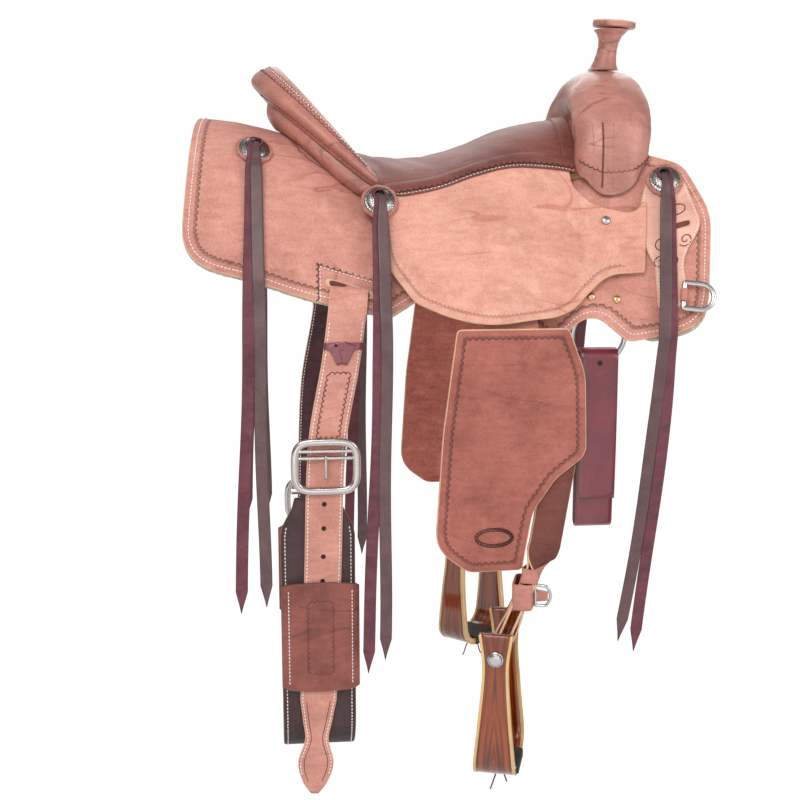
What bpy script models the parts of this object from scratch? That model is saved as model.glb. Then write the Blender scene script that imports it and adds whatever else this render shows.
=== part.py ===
"""A western cow horse saddle, modelled at its real size in metres.

+X runs forward to the horn, +Z up, and Y across: the off (right) side is at -Y, the near (left) side at +Y.
The origin lies on the middle plane, between the bars, where the saddle sits on its rack.
Leather that lies on the horse is cut as a flat pattern and then bent over the curve of the back.
"""

import math

import bmesh
import bpy
from mathutils import Matrix, Vector

# Clearances
SEAT_GAP = 0.0003
LAYER_GAP = 0.0007

# Curve of the horse's back that skirts and bars follow
BACK_LOW = 0.098
BACK_LOW_AT = 0.03
BACK_RISE = 0.080
BACK_RISE_LENGTH = 0.40
FLANK_SLOPE = math.radians(67)
FLANK_TURN = 0.13
SECTION_STEP = 0.002
SECTION_LENGTH = 0.46

# Hidden under the seat the back is lower and flatter
SAG = 0.026
SAG_AT = -0.02
SAG_HALF = 0.065
SAG_FADE = 0.125
SAG_DOWN = (0.10, 0.25)

# Leather weights
SKIRT_THICK = 0.005
FLEECE_THICK = 0.010
JOCKEY_THICK = 0.0045
STRAP_THICK = 0.004
FENDER_THICK = 0.005
LACE_THICK = 0.003
LACE_WIDTH = 0.017
PATTERN_CELL = (0.052, 0.029)
FLAT = (1.0, 1.0)

# Tree
BAR_THICK = 0.014
BAR_LIFT = 0.0016
BAR_CENTRE = 0.03
BAR_REACH = 0.24
BAR_TAPER = 0.6
FORK_AT = 0.237
FORK_FOOT_AT = 0.226
FORK_INNER = (0.087, 0.142, 0.038, math.radians(80))
FORK_OUTER = (0.143, 0.110, 0.132, math.radians(97))
FORK_HALF_LENGTH = 0.051
FORK_COUNT = 14
COVER_HEM = 0.018
SWELL_COVER_THICK = 0.0035
SWELL_FIT = 0.0018

# Horn
HORN_FOOT = Vector((0.239, 0.0, 0.2472))
HORN_LEAN = math.radians(11)
HORN_CORE_RADIUS = 0.008
HORN_NECK_RADIUS = 0.0142
HORN_NECK_HEIGHT = 0.058
HORN_SINK = 0.022
HORN_CAP_RADIUS = 0.031
HORN_CAP_THICK = 0.009
HORN_CAP_TILT = math.radians(-7)

# Seat
SEAT_FRONT = 0.166
SEAT_LOW_AT = -0.095
SEAT_LINE = ((-0.095, 0.123), (-0.060, 0.121), (-0.020, 0.125), (0.030, 0.139), (0.087, 0.163),
             (0.130, 0.173), (0.166, 0.180))
SEAT_EDGE_WIDTH = ((-0.120, 0.140), (-0.095, 0.140), (-0.030, 0.139), (0.050, 0.135), (0.120, 0.125),
                   (0.172, 0.115), (0.240, 0.113))
SEAT_EDGE_HEIGHT = ((-0.120, 0.080), (-0.095, 0.082), (-0.023, 0.094), (0.030, 0.112), (0.080, 0.123),
                    (0.130, 0.122), (0.172, 0.116), (0.240, 0.100))
SEAT_CROWN = 2.3
PAD_THICK = 0.013
PAD_EDGE_THICK = 0.004
PAD_RIM_THICK = 0.006
GROUND_SEAT_THICK = 0.003
GROUND_SEAT_SHARE = 14 / 18

# Cantle
RIM_END = Vector((-0.098, 0.131, 0.091))
RIM_TOP = Vector((-0.238, 0.0, 0.250))
DISH_PULL = Vector((-0.100, 0.0, 0.006))
CANTLE_BOARD_THICK = 0.007
CANTLE_BACK_THICK = 0.004
CANTLE_FOOT = Vector((-0.241, 0.125, 0.0))
CANTLE_FOOT_END = -0.118
ROLL_SECTION = ((0.0, 0.0), (0.012, -0.001), (0.028, -0.008), (0.036, -0.018), (0.034, -0.028),
                (0.024, -0.039), (0.0135, -0.050), (0.0125, -0.030), (0.0125, -0.016), (0.0030, -0.0085))
ROLL_END_SHARE = 0.15

# Seat jockeys
JOCKEY_TOP_SLOPE = math.radians(50)
JOCKEY_SLOPE = math.radians(62)
JOCKEY_TURN = 0.08
JOCKEY_FACE_SLOPE = math.radians(58)
JOCKEY_TUCK_REAR = -0.055
JOCKEY_TUCK_FRONT = 0.170
JOCKEY_TUCK_REAR_LENGTH = 0.115
JOCKEY_TUCK_FRONT_LENGTH = 0.055
JOCKEY = ((-0.110, 0.0, 0.003), (-0.098, 0.110, 0.10), (-0.062, 0.170, 0.05), (0.045, 0.243, 0.16),
          (0.145, 0.232, 0.08), (0.203, 0.158, 0.07), (0.252, 0.141, 0.006), (0.264, 0.022, 0.010),
          (0.246, 0.057, 0.030), (0.190, 0.060, 0.036), (0.166, 0.034, 0.030), (0.165, 0.0, 0.003))

# Skirts
SKIRT_MIDDLE = 0.001
SKIRT = ((-0.346, SKIRT_MIDDLE, 0.012), (-0.371, 0.312, 0.062), (-0.210, 0.328, 0.30), (-0.092, 0.318, 0.030),
         (-0.046, 0.278, 0.030), (0.060, 0.278, 0.030), (0.120, 0.362, 0.022), (0.178, 0.318, 0.036),
         (0.226, 0.380, 0.030), (0.334, 0.396, 0.062), (0.352, 0.235, 0.10), (0.322, 0.150, 0.060),
         (0.272, 0.108, 0.020), (0.200, 0.098, 0.020), (-0.190, 0.098, 0.020), (-0.230, SKIRT_MIDDLE, 0.012))
FLEECE_ARCH = ((0.120, 0.362, 0.022), (0.160, 0.292, 0.020), (0.224, 0.292, 0.020), (0.252, 0.388, 0.022))
SLOT_AT = -0.147
SLOT_DOWN = 0.296
SLOT_LENGTH = 0.062
SLOT_WIDTH = 0.011

# Front keeper plates
KEEPER_THICK = 0.004
KEEPER = ((0.294, 0.150, 0.028), (0.264, 0.172, 0.020), (0.246, 0.226, 0.030), (0.268, 0.290, 0.050),
          (0.268, 0.348, 0.010), (0.283, 0.360, 0.006), (0.310, 0.350, 0.010), (0.306, 0.290, 0.050),
          (0.337, 0.248, 0.030), (0.318, 0.175, 0.040))
KEEPER_SLOT = (0.302, 0.242, 0.036, 0.008)
KEEPER_HOLE = (0.283, 0.316, 0.0055)

# Conchos on their leather rosettes: place along the horse and down the pattern
CONCHO_RADIUS = 0.0205
CONCHO_RISE = 0.006
ROSETTE_RADIUS = 0.0265
ROSETTE_THICK = 0.003
ROSETTE_SCALLOPS = 12
REAR_CONCHO = (-0.271, 0.127)
MIDDLE_CONCHO = (-0.103, 0.020)
MIDDLE_CONCHO_LIFT = 0.0058
MIDDLE_CONCHO_TILT = math.radians(6)
FRONT_CONCHO = (0.293, 0.172)

# Saddle strings: how far down each pair reaches, and how far out from the middle it hangs
STRING_LOOP = 0.012
STRING_OFF = 0.0006
STRING_TIP = 0.030
REAR_STRINGS = ((-0.300, -0.490), (-0.266, -0.475))
MIDDLE_STRINGS = ((-0.128, -0.577), (-0.104, -0.558))
FRONT_STRINGS = ((0.220, -0.514), (0.242, -0.537))
STRING_HANG = 0.2385
FRONT_STRING_HANG = 0.255

# Breast collar dees
DEE_WIRE = 0.0023
DEE_WIDTH = 0.036
DEE_DEPTH = 0.040
DEE_AT = (0.303, 0.342)
DEE_TURN = math.radians(-22)
DEE_TAB_RADIUS = 0.0052
DEE_TAB_LENGTH = 0.018

# Front rigging rings, and the strap folded through each
RING_RADIUS = 0.037
RING_WIRE = 0.0038
RING_AT = Vector((0.192, 0.2045, -0.116))
RING_TAB_RADIUS = 0.0072
RING_TAB_LENGTH = 0.014
RING_PLAY = 0.0012
BILLET_WIDTH = 0.052
BILLET_TOP = -0.1320
BILLET_BOTTOM = -0.386
BILLET_HALF_DEPTH = 0.016
BILLET_TUCK = -0.262

# Flank straps: centre lines are slanted from the slot down to the cinch
FLANK_HANG = 0.224
FLANK_STRAP_WIDTH = 0.051
FLANK_TOP = -0.0462
FLANK_TUCK = 0.0155
FLANK_TUCK_BELOW = -0.075
FLANK_TUCK_LENGTH = 0.035
FLANK_LINE = ((-0.760, -0.2030), (-0.600, -0.1950), (-0.440, -0.1880), (-0.255, -0.1800), (-0.140, -0.1600),
              (-0.040, -0.1470))
FLANK_TIP_WIDTHS = ((-0.762, 0.010), (-0.745, 0.034), (-0.715, 0.050), (-0.680, 0.033), (-0.655, 0.040),
                    (-0.620, 0.051))
BUCKLE_AT = {"off": -0.285, "near": -0.455}
BUCKLE_HEIGHT = 0.068
BUCKLE_WIDTH = 0.084
BUCKLE_WIRE = 0.0035
CINCH_WIDTH = 0.102
CINCH_THICK = 0.008
CINCH_AT = -0.194
CINCH_BOTTOM = -0.716
CINCH_BELOW_BUCKLE = 0.046
CINCH_CORNER = 0.075
PATCH_TOP = {"off": -0.452, "near": -0.500}
PATCH_HEIGHT = 0.150
PATCH_WIDTH = 0.108

# Fenders and stirrup leathers
LEATHER_HANG = 0.246
FENDER_TOP = -0.099
LEATHER_LAP = 0.005
LEATHER_AT = 0.066
LEATHER_TOP = (0.1377, 0.0564)
UPPER_LEATHER_WIDTH = 0.072
FENDER = ((-0.008, FENDER_TOP, 0.008), (-0.026, -0.240, 0.40), (-0.036, -0.400, 0.10), (0.010, -0.434, 0.030),
          (0.084, -0.432, 0.008), (0.098, -0.350, 0.06), (0.128, -0.305, 0.05), (0.170, -0.272, 0.030),
          (0.166, -0.160, 0.10), (0.142, FENDER_TOP, 0.008))
NECK_PLY = 0.0026
NECK_AT = (0.117, LEATHER_HANG - FENDER_THICK / 2 - SEAT_GAP - STRAP_THICK / 2 - NECK_PLY)
NECK_TOP = -0.400
NECK_HEAD = (0.135, -0.285)
NECK_WIDTH = 0.044
HOBBLE_TOP = -0.446
HOBBLE_BOTTOM = -0.486
HOBBLE_THICK = 0.0035
HOBBLE_BUCKLE_WIRE = 0.0022

# Stirrups
STIRRUP_AT = {"off": 0.057, "near": 0.092}
STIRRUP_OUT = 0.2445
STIRRUP_TURN = {"off": math.radians(-17), "near": math.radians(-43)}
STIRRUP_HALF_WIDTH = 0.058
STIRRUP_NARROWING = 0.91
STIRRUP_TOP = -0.506
STIRRUP_BOTTOM = -0.716
STIRRUP_WOOD = 0.009
STIRRUP_BOLT_HEIGHT = -0.540
STIRRUP_CORNER = 0.030
STIRRUP_DEPTHS = ((-0.716, 0.056), (-0.690, 0.055), (-0.620, 0.042), (-0.552, 0.034), (-0.506, 0.045))
BOLT_RADIUS = 0.005
BOLT_PLAY = 0.0008
BOLT_HEAD_RADIUS = 0.011
BOLT_HEAD_THICK = 0.004
TREAD_THICK = 0.003

LEATHER_ROUGHOUT = ("roughout_leather", (0.80, 0.36, 0.26), 0.85, 0.0)
LEATHER_SKIRT = ("skirt_leather", (0.76, 0.33, 0.24), 0.8, 0.0)
LEATHER_FENDER = ("fender_leather", (0.44, 0.16, 0.12), 0.8, 0.0)
LEATHER_SWELL = ("swell_leather", (0.62, 0.27, 0.20), 0.6, 0.0)
LEATHER_SEAT = ("seat_leather", (0.16, 0.06, 0.05), 0.45, 0.0)
LEATHER_LACE = ("lace_leather", (0.13, 0.07, 0.08), 0.5, 0.0)
LEATHER_LATIGO = ("latigo_leather", (0.22, 0.03, 0.05), 0.35, 0.0)
LEATHER_CINCH = ("cinch_leather", (0.10, 0.05, 0.05), 0.6, 0.0)
LEATHER_KEEPER = ("tooled_leather", (0.86, 0.44, 0.30), 0.6, 0.0)
FLEECE = ("fleece", (0.72, 0.64, 0.50), 1.0, 0.0)
TREE_WOOD = ("tree_wood", (0.55, 0.40, 0.24), 0.7, 0.0)
STIRRUP_WOOD_FINISH = ("stirrup_wood", (0.26, 0.09, 0.03), 0.25, 0.0)
STEEL = ("steel", (0.72, 0.72, 0.70), 0.25, 1.0)

SIDES = (("off", -1), ("near", 1))


def clear_scene():
    for obj in list(bpy.data.objects):
        bpy.data.objects.remove(obj)


def collection(name):
    made = bpy.data.collections.new(name)
    bpy.context.scene.collection.children.link(made)
    return made


def finish_material(finish):
    """The Principled material of one finish, made once."""
    name, colour, roughness, metallic = finish
    found = bpy.data.materials.get(name)
    if found:
        return found
    made = bpy.data.materials.new(name)
    made.use_nodes = True
    shader = made.node_tree.nodes["Principled BSDF"]
    shader.inputs["Base Color"].default_value = (*colour, 1.0)
    shader.inputs["Roughness"].default_value = roughness
    shader.inputs["Metallic"].default_value = metallic
    return made


# Shape helpers


def smoothstep(t):
    t = min(max(t, 0.0), 1.0)
    return t * t * (3 - 2 * t)


def line_through(points):
    """A smooth line y(x) through a few points (x, y), straight beyond its ends."""
    xs = [p[0] for p in points]
    ys = [p[1] for p in points]
    last = len(xs) - 1
    slopes = []
    for i in range(len(xs)):
        a, b = max(i - 1, 0), min(i + 1, last)
        slopes.append((ys[b] - ys[a]) / (xs[b] - xs[a]))

    def value(x):
        if x <= xs[0]:
            return ys[0] + slopes[0] * (x - xs[0])
        if x >= xs[-1]:
            return ys[-1] + slopes[-1] * (x - xs[-1])
        i = max(k for k in range(last) if xs[k] <= x)
        h = xs[i + 1] - xs[i]
        t = (x - xs[i]) / h
        near = (2 * t**3 - 3 * t * t + 1) * ys[i] + (t**3 - 2 * t * t + t) * h * slopes[i]
        far = (3 * t * t - 2 * t**3) * ys[i + 1] + (t**3 - t * t) * h * slopes[i + 1]
        return near + far

    return value


def rounded(corners, steps=2):
    """An outline from its corners (x, y, radius), each corner turned on an arc."""
    outline = []
    count = len(corners)
    for i, (x, y, radius) in enumerate(corners):
        here = Vector((x, y))
        before = Vector(corners[i - 1][:2]) - here
        after = Vector(corners[(i + 1) % count][:2]) - here
        half = before.angle(after) / 2
        reach = min(radius / math.tan(half), 0.49 * before.length, 0.49 * after.length)
        start = here + before.normalized() * reach
        end = here + after.normalized() * reach
        for k in range(steps + 1):
            t = k / steps
            outline.append((1 - t) ** 2 * start + 2 * t * (1 - t) * here + t * t * end)
    return outline


def circle(x, y, radius, count=12):
    return [
        Vector((x + radius * math.cos(2 * math.pi * k / count), y + radius * math.sin(2 * math.pi * k / count)))
        for k in range(count)
    ]


def store(name, mesh, finish):
    """A named object of the saddle with its finish."""
    obj = bpy.data.objects.new(name, mesh)
    saddle.objects.link(obj)
    mesh.materials.clear()
    mesh.materials.append(finish_material(finish))
    return obj


def add_faces(bm, name, finish, smooth=False):
    """Closes a bmesh into a named object with its faces pointing out."""
    bmesh.ops.remove_doubles(bm, verts=bm.verts[:], dist=1e-6)
    bmesh.ops.recalc_face_normals(bm, faces=bm.faces[:])
    mesh = bpy.data.meshes.new(name)
    bm.to_mesh(mesh)
    bm.free()
    if smooth:
        mesh.shade_smooth()
    return store(name, mesh, finish)


def helper(bm, name):
    """A hidden body that another piece is cut by or joined to."""
    obj = add_faces(bm, name, STEEL)
    saddle.objects.unlink(obj)
    helpers.objects.link(obj)
    obj.hide_render = True
    obj.display_type = "WIRE"
    return obj


def combine(obj, other, operation):
    change = obj.modifiers.new(operation.lower(), "BOOLEAN")
    change.operation = operation
    change.object = other


def cut(obj, cutter):
    combine(obj, cutter, "DIFFERENCE")


def join(obj, other):
    combine(obj, other, "UNION")


def rod(centre, way, radius, length, count=16):
    """A plain round rod, as a bmesh."""
    first = way.orthogonal().normalized()
    second = way.normalized().cross(first)
    rings = []
    for end in (-0.5, 0.5):
        middle = centre + way.normalized() * length * end
        rings.append([middle + (first * math.cos(a) + second * math.sin(a)) * radius for a in angles(count)])
    return loft(rings)


def angles(count):
    return [2 * math.pi * k / count for k in range(count)]


def slice_at(bm, spot, way):
    everything = bm.verts[:] + bm.edges[:] + bm.faces[:]
    bmesh.ops.bisect_plane(bm, geom=everything, plane_co=spot, plane_no=way, dist=1e-5)


def pattern(outline, thick, cell=PATTERN_CELL, diagonal=True, holes=(), bends=()):
    """A flat leather blank of the outline, with holes, cut into cells so that it can bend.

    The cells lie on one fixed grid and are cut along one diagonal, so that all layers bend alike.
    """
    curve = bpy.data.curves.new("pattern", "CURVE")
    curve.dimensions = "2D"
    curve.fill_mode = "BOTH"
    curve.extrude = thick / 2
    for loop in (outline, *holes):
        spline = curve.splines.new("POLY")
        spline.points.add(len(loop) - 1)
        for point, spot in zip(spline.points, loop):
            point.co = (spot.x, spot.y, 0.0, 1.0)
        spline.use_cyclic_u = True
    blank = bpy.data.objects.new("pattern", curve)
    bpy.context.scene.collection.objects.link(blank)
    bpy.context.view_layer.update()
    mesh = bpy.data.meshes.new_from_object(blank.evaluated_get(bpy.context.evaluated_depsgraph_get()))
    bpy.data.objects.remove(blank)
    bm = bmesh.new()
    bm.from_mesh(mesh)
    bmesh.ops.remove_doubles(bm, verts=bm.verts[:], dist=1e-6)
    bmesh.ops.dissolve_limit(bm, angle_limit=0.001, verts=bm.verts[:], edges=bm.edges[:])
    bmesh.ops.translate(bm, verts=bm.verts[:], vec=(0, 0, thick / 2))
    ways = [Vector((1 / cell[0], 0, 0)), Vector((0, 1 / cell[1], 0))]
    if diagonal:
        ways.append(ways[0] - ways[1])
    for way in ways:
        marks = [way.dot(v.co) for v in bm.verts]
        for k in range(math.ceil(min(marks)), math.ceil(max(marks))):
            slice_at(bm, way * (k / way.length_squared), way)
    for run in bends:
        slice_at(bm, Vector((0, run, 0)), Vector((0, 1, 0)))
    bmesh.ops.triangulate(bm, faces=bm.faces[:], quad_method="SHORT_EDGE")
    return bm


def lay(bm, place, side=-1, bottom=0.0):
    """Carries a blank's points (along, down, height) to place(along, down, height) on one side."""
    for v in bm.verts:
        spot = place(v.co.x, v.co.y, v.co.z + bottom)
        v.co = (spot.x, spot.y * -side, spot.z)
    return bm


def loft(rings, closed=False):
    """A skin over rings of equal point counts, capped at its ends or joined into a loop."""
    bm = bmesh.new()
    rows = [[bm.verts.new(p) for p in ring] for ring in rings]
    count = len(rows[0])
    pairs = list(zip(rows, rows[1:]))
    if closed:
        pairs.append((rows[-1], rows[0]))
    for a, b in pairs:
        for k in range(count):
            bm.faces.new((a[k], a[(k + 1) % count], b[(k + 1) % count], b[k]))
    if not closed:
        bm.faces.new(rows[0][::-1])
        bm.faces.new(rows[-1])
    return bm


def strap(points, width_ways, widths, thick):
    """A flat strap along its centre points: each ring is a rectangle of the local width and thickness."""
    rings = []
    last = len(points) - 1
    for i, (point, way, width) in enumerate(zip(points, width_ways, widths)):
        along = (points[min(i + 1, last)] - points[max(i - 1, 0)]).normalized()
        way = (way - along * way.dot(along)).normalized()
        out = along.cross(way) * (thick / 2)
        half = way * (width / 2)
        rings.append((point - half - out, point + half - out, point + half + out, point - half + out))
    return loft(rings)


def level_strap(points, widths, thick):
    """A strap whose width runs along the horse."""
    return strap(points, [Vector((1, 0, 0))] * len(points), widths, thick)


def wire(name, points, radius, finish, cyclic=False, resolution=2):
    """A round bar bent along points."""
    curve = bpy.data.curves.new(name, "CURVE")
    curve.dimensions = "3D"
    curve.bevel_depth = radius
    curve.bevel_resolution = resolution
    curve.use_fill_caps = True
    spline = curve.splines.new("POLY")
    spline.points.add(len(points) - 1)
    for spot, point in zip(spline.points, points):
        spot.co = (*point, 1.0)
    spline.use_cyclic_u = cyclic
    curve.materials.append(finish_material(finish))
    obj = bpy.data.objects.new(name, curve)
    saddle.objects.link(obj)
    return obj


def frame_on(place, along, down, height):
    """Where a piece sits on a surface: its origin, the way along the horse, and the way out of the surface."""
    foot = place(along, down, 0.0)
    ahead = (place(along + 0.002, down, 0.0) - foot).normalized()
    out = ahead.cross(place(along, down + 0.002, 0.0) - foot).normalized()
    if out.z < 0:
        out = -out
    return foot + out * height, ahead, out


def mirrored(point, side):
    return Vector((point.x, point.y * -side, point.z))


# Curved surfaces that the leather follows, all drawn on the off side


def section_table():
    table = [(0.0, 0.0)]
    for k in range(round(SECTION_LENGTH / SECTION_STEP)):
        slope = back_slope((k + 0.5) * SECTION_STEP)
        y, z = table[-1]
        table.append((y + SECTION_STEP * math.cos(slope), z + SECTION_STEP * math.sin(slope)))
    return table


def back_slope(down):
    """The slope of the back at a distance down from the ridge."""
    return FLANK_SLOPE * (1 - math.exp(-((down / FLANK_TURN) ** 2)))


def back_height(along):
    share = min(abs(along - BACK_LOW_AT) / BACK_RISE_LENGTH, 1.0)
    return BACK_LOW + BACK_RISE / 2 * (1 - math.cos(math.pi * share))


def back_section(down):
    """How far out and how far below the ridge the back is, at a distance down from the ridge."""
    spot = min(abs(down) / SECTION_STEP, len(SECTION) - 1.001)
    k = int(spot)
    t = spot - k
    return tuple(SECTION[k][i] * (1 - t) + SECTION[k + 1][i] * t for i in (0, 1))


def back_sag(along, down):
    """How much lower the back lies where seat and jockeys hide it."""
    middle = 1 - smoothstep((abs(along - SAG_AT) - SAG_HALF) / SAG_FADE)
    return SAG * middle * (1 - smoothstep((abs(down) - SAG_DOWN[0]) / (SAG_DOWN[1] - SAG_DOWN[0])))


def on_back(along, down, height, sag=1.0):
    """A point over the back: along the horse, down from the ridge, and out from the skirt's face."""
    out, drop = back_section(down)
    drop += sag * back_sag(along, down)
    slope = back_slope(abs(down))
    return Vector((along, -(out + height * math.sin(slope)), back_height(along) - drop + height * math.cos(slope)))


def width_at_height(along, z, height):
    """How far out a layer over the unsagged back is at height z."""
    low, high = 0.0, SECTION_LENGTH - 0.01
    for _ in range(30):
        middle = (low + high) / 2
        if on_back(along, middle, height, 0.0).z > z:
            low = middle
        else:
            high = middle
    return -on_back(along, low, height, 0.0).y


def down_at_width(width, height):
    """The distance down from the ridge where a layer over the back is at a width from the middle plane."""
    low, high = 0.0, SECTION_LENGTH - 0.01
    for _ in range(30):
        middle = (low + high) / 2
        if -on_back(0.0, middle, height).y < width:
            low = middle
        else:
            high = middle
    return low


def on_jockey(along, down, height):
    """A point on the jockey's face: it starts under the pad's edge, falls steeply, and tucks onto the skirt at its ends."""
    y = seat_edge_width(along)
    z = seat_edge_height(along) - PAD_EDGE_THICK - LAYER_GAP
    steps = 10
    for k in range(steps):
        turn = min(abs(down) * (k + 0.5) / steps / JOCKEY_TURN, 1.0)
        slope = JOCKEY_TOP_SLOPE + (JOCKEY_SLOPE - JOCKEY_TOP_SLOPE) * turn
        y += down / steps * math.cos(slope)
        z -= down / steps * math.sin(slope)
    rear = smoothstep((JOCKEY_TUCK_REAR - along) / JOCKEY_TUCK_REAR_LENGTH)
    front = smoothstep((along - JOCKEY_TUCK_FRONT) / JOCKEY_TUCK_FRONT_LENGTH)
    over = KEEPER_THICK if front > rear else 0.0
    seat = JOCKEY_THICK + over + 4 * LAYER_GAP
    tucked = width_at_height(along, z, seat)
    y = max(y + (tucked - y) * max(rear, front), tucked)
    out = Vector((0.0, -math.sin(JOCKEY_FACE_SLOPE), math.cos(JOCKEY_FACE_SLOPE)))
    return Vector((along, -y, z)) + out * height


def rim(turn, outward=0.0, up=0.0):
    """The cantle's top edge: turn runs from -90 degrees at the off corner over 0 at the top to +90."""
    share = math.cos(turn)
    point = Vector((
        RIM_END.x + (RIM_TOP.x - RIM_END.x) * share,
        RIM_END.y * math.sin(turn),
        RIM_END.z + (RIM_TOP.z - RIM_END.z) * share,
    ))
    out = Vector((-RIM_END.y * math.cos(turn), (RIM_END.x - RIM_TOP.x) * math.sin(turn), 0.0)).normalized()
    return point + out * outward + Vector((0, 0, up))


def seat_top(across, back):
    """The pad's top: across from -1 to 1, back from 0 at its front edge over 1 at the low to 2 at the rim."""
    if back <= 1.0:
        x = SEAT_FRONT + (SEAT_LOW_AT - SEAT_FRONT) * back
        middle = seat_line(x)
        edge = seat_edge_height(x)
        return Vector((x, seat_edge_width(x) * across, middle - (middle - edge) * abs(across) ** SEAT_CROWN))
    t = back - 1.0
    start = seat_top(across, 1.0)
    end = rim(across * math.pi / 2, -0.0042, -0.006)
    share = math.cos(across * math.pi / 2)
    pull = start + DISH_PULL * share + Vector((0, start.y * 0.12 * share, 0))
    return (1 - t) ** 2 * start + 2 * t * (1 - t) * pull + t * t * end


def in_seat(across, back, depth):
    """A point below the pad's top, square to it."""
    step = 0.004
    here = seat_top(across, back)
    side = seat_top(min(across + step, 1), back) - seat_top(max(across - step, -1), back)
    ahead = seat_top(across, max(back - step, 0)) - seat_top(across, min(back + step, 2))
    out = ahead.cross(side).normalized()
    if out.z < 0:
        out = -out
    return here - out * depth


def pad_depth(across, back):
    """The pad's thickness: thin at its edge and at the rim, full in the middle."""
    full = PAD_THICK + (PAD_RIM_THICK - PAD_THICK) * smoothstep(back - 1.0)
    return PAD_EDGE_THICK + (full - PAD_EDGE_THICK) * smoothstep((1 - abs(across)) / 0.16)


def seat_sheet(across, back, top, bottom, columns, rows):
    """A closed sheet in the seat between two depths, over a range across and a range back."""
    rings = []
    for i in range(rows + 1):
        b = back[0] + (back[1] - back[0]) * i / rows
        spread = [across[0] + (across[1] - across[0]) * k / columns for k in range(columns + 1)]
        upper = [in_seat(a, b, top(a, b)) for a in spread]
        lower = [in_seat(a, b, bottom(a, b)) for a in reversed(spread)]
        rings.append(upper + lower)
    return loft(rings)


# Pieces of the tree


def bar_share(along):
    return 1 - BAR_TAPER * ((along - BAR_CENTRE) / BAR_REACH) ** 2


def build_bars():
    outline = rounded(((-0.115, 0.098, 0.010), (-0.122, 0.122, 0.012), (-0.080, 0.132, 0.050), (0.066, 0.139, 0.008), (0.094, 0.121, 0.015),
                       (0.150, 0.117, 0.030), (0.188, 0.120, 0.010), (0.210, 0.141, 0.012), (0.252, 0.143, 0.012),
                       (0.256, 0.104, 0.012), (0.085, 0.086, 0.040), (-0.060, 0.100, 0.040)))
    for label, side in SIDES:
        bm = pattern(outline, BAR_THICK)
        lay(bm, lambda x, s, h: on_back(x, s, BAR_LIFT + h * bar_share(x)), side)
        add_faces(bm, f"tree_bar_{label}", TREE_WOOD)


def fork_ring(share, grow):
    """One section of the fork's arch, from its inner curve to its outer curve, at a share of its span."""
    ends = []
    for half_span, base, rise, reach in (FORK_INNER, FORK_OUTER):
        turn = reach * share
        x = FORK_AT + (FORK_FOOT_AT - FORK_AT) * abs(share)
        ends.append(Vector((x, half_span * math.sin(turn), base + rise * math.cos(turn))))
    centre = (ends[0] + ends[1]) / 2
    half = (ends[1] - ends[0]) / 2
    half += half.normalized() * grow
    length = FORK_HALF_LENGTH * (1 - 0.08 * smoothstep((abs(share) - 0.55) / 0.45)) + grow
    ring = []
    for a in angles(FORK_COUNT):
        c, s = math.cos(a), math.sin(a)
        ring.append(centre + Vector((math.copysign(abs(c) ** 0.9, c) * length, 0, 0)) + half * s)
    return ring


def bar_top(x, width):
    """The height of the bars' upper face at a width from the middle plane."""
    height = 2 * BAR_LIFT + BAR_THICK * bar_share(x)
    low, high = 0.0, SECTION_LENGTH - 0.01
    for _ in range(30):
        middle = (low + high) / 2
        if -on_back(x, middle, height).y < width:
            low = middle
        else:
            high = middle
    return on_back(x, low, height).z


def fork_rings(grow, hem=0.0, steps=14):
    """The fork's sections from foot to foot; the feet stand on the bars, and a hem reaches lower outside."""
    rings = [fork_ring(2 * k / steps - 1, grow) for k in range(steps + 1)]
    outer_width = FORK_OUTER[0] * math.sin(FORK_OUTER[3]) + grow
    inner_width = FORK_INNER[0] * math.sin(FORK_INNER[3]) - grow
    for ring in (rings[0], rings[-1]):
        for k, point in enumerate(ring):
            share = (abs(point.y) - inner_width) / (outer_width - inner_width)
            z = bar_top(point.x, abs(point.y)) - hem * smoothstep((share - 0.80) / 0.2)
            width = abs(point.y)
            if hem:
                width = max(width, width_at_height(point.x, z, BAR_LIFT + grow + SEAT_GAP))
            ring[k] = Vector((point.x, math.copysign(width, point.y), z))
    return rings


def foot_middle(ring):
    """A smaller ring inside a foot's edge, on the bars too, so that the foot's sole follows them."""
    centre = sum(ring, Vector()) / len(ring)
    inner = [point.lerp(centre, 0.55) for point in ring]
    return [Vector((p.x, p.y, bar_top(p.x, abs(p.y)))) for p in inner]


def build_fork():
    rings = fork_rings(0.0)
    rings = [foot_middle(rings[0]), *rings, foot_middle(rings[-1])]
    fork = add_faces(loft(rings), "tree_fork", TREE_WOOD, True)
    join(fork, helper(loft(horn_core_rings()), "horn_core"))
    outer = fork_rings(SWELL_FIT + SWELL_COVER_THICK, COVER_HEM)
    inner = fork_rings(SWELL_FIT, COVER_HEM)
    cover = add_faces(loft(outer + inner[::-1], closed=True), "swell_cover", LEATHER_SWELL, True)
    middle = HORN_FOOT + Vector((0, 0, 0.010))
    cut(cover, helper(rod(middle, Vector((0, 0, 1)), HORN_CORE_RADIUS + 3 * SEAT_GAP, 0.040), "horn_hole"))


def build_cantle():
    board = seat_sheet(
        (-2 / 3, 2 / 3), (1.3, 1.8),
        lambda a, b: pad_depth(a, b) + LAYER_GAP,
        lambda a, b: pad_depth(a, b) + LAYER_GAP + CANTLE_BOARD_THICK, 12, 5,
    )
    add_faces(board, "tree_cantle", TREE_WOOD, True)
    turns = [math.radians(-88 + 176 * k / 22) for k in range(23)]
    rings = []
    for turn in turns:
        share = ROLL_END_SHARE + (1 - ROLL_END_SHARE) * math.sqrt(max(math.cos(turn), 0.0))
        rings.append([rim(turn, out * share, up * share) for out, up in ROLL_SECTION])
    add_faces(loft(rings), "cantle_roll", LEATHER_SWELL, True)
    add_faces(loft([cantle_back_ring(t) for t in turns if abs(t) < math.radians(76)]), "cantle_back",
              LEATHER_SWELL, True)


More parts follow.
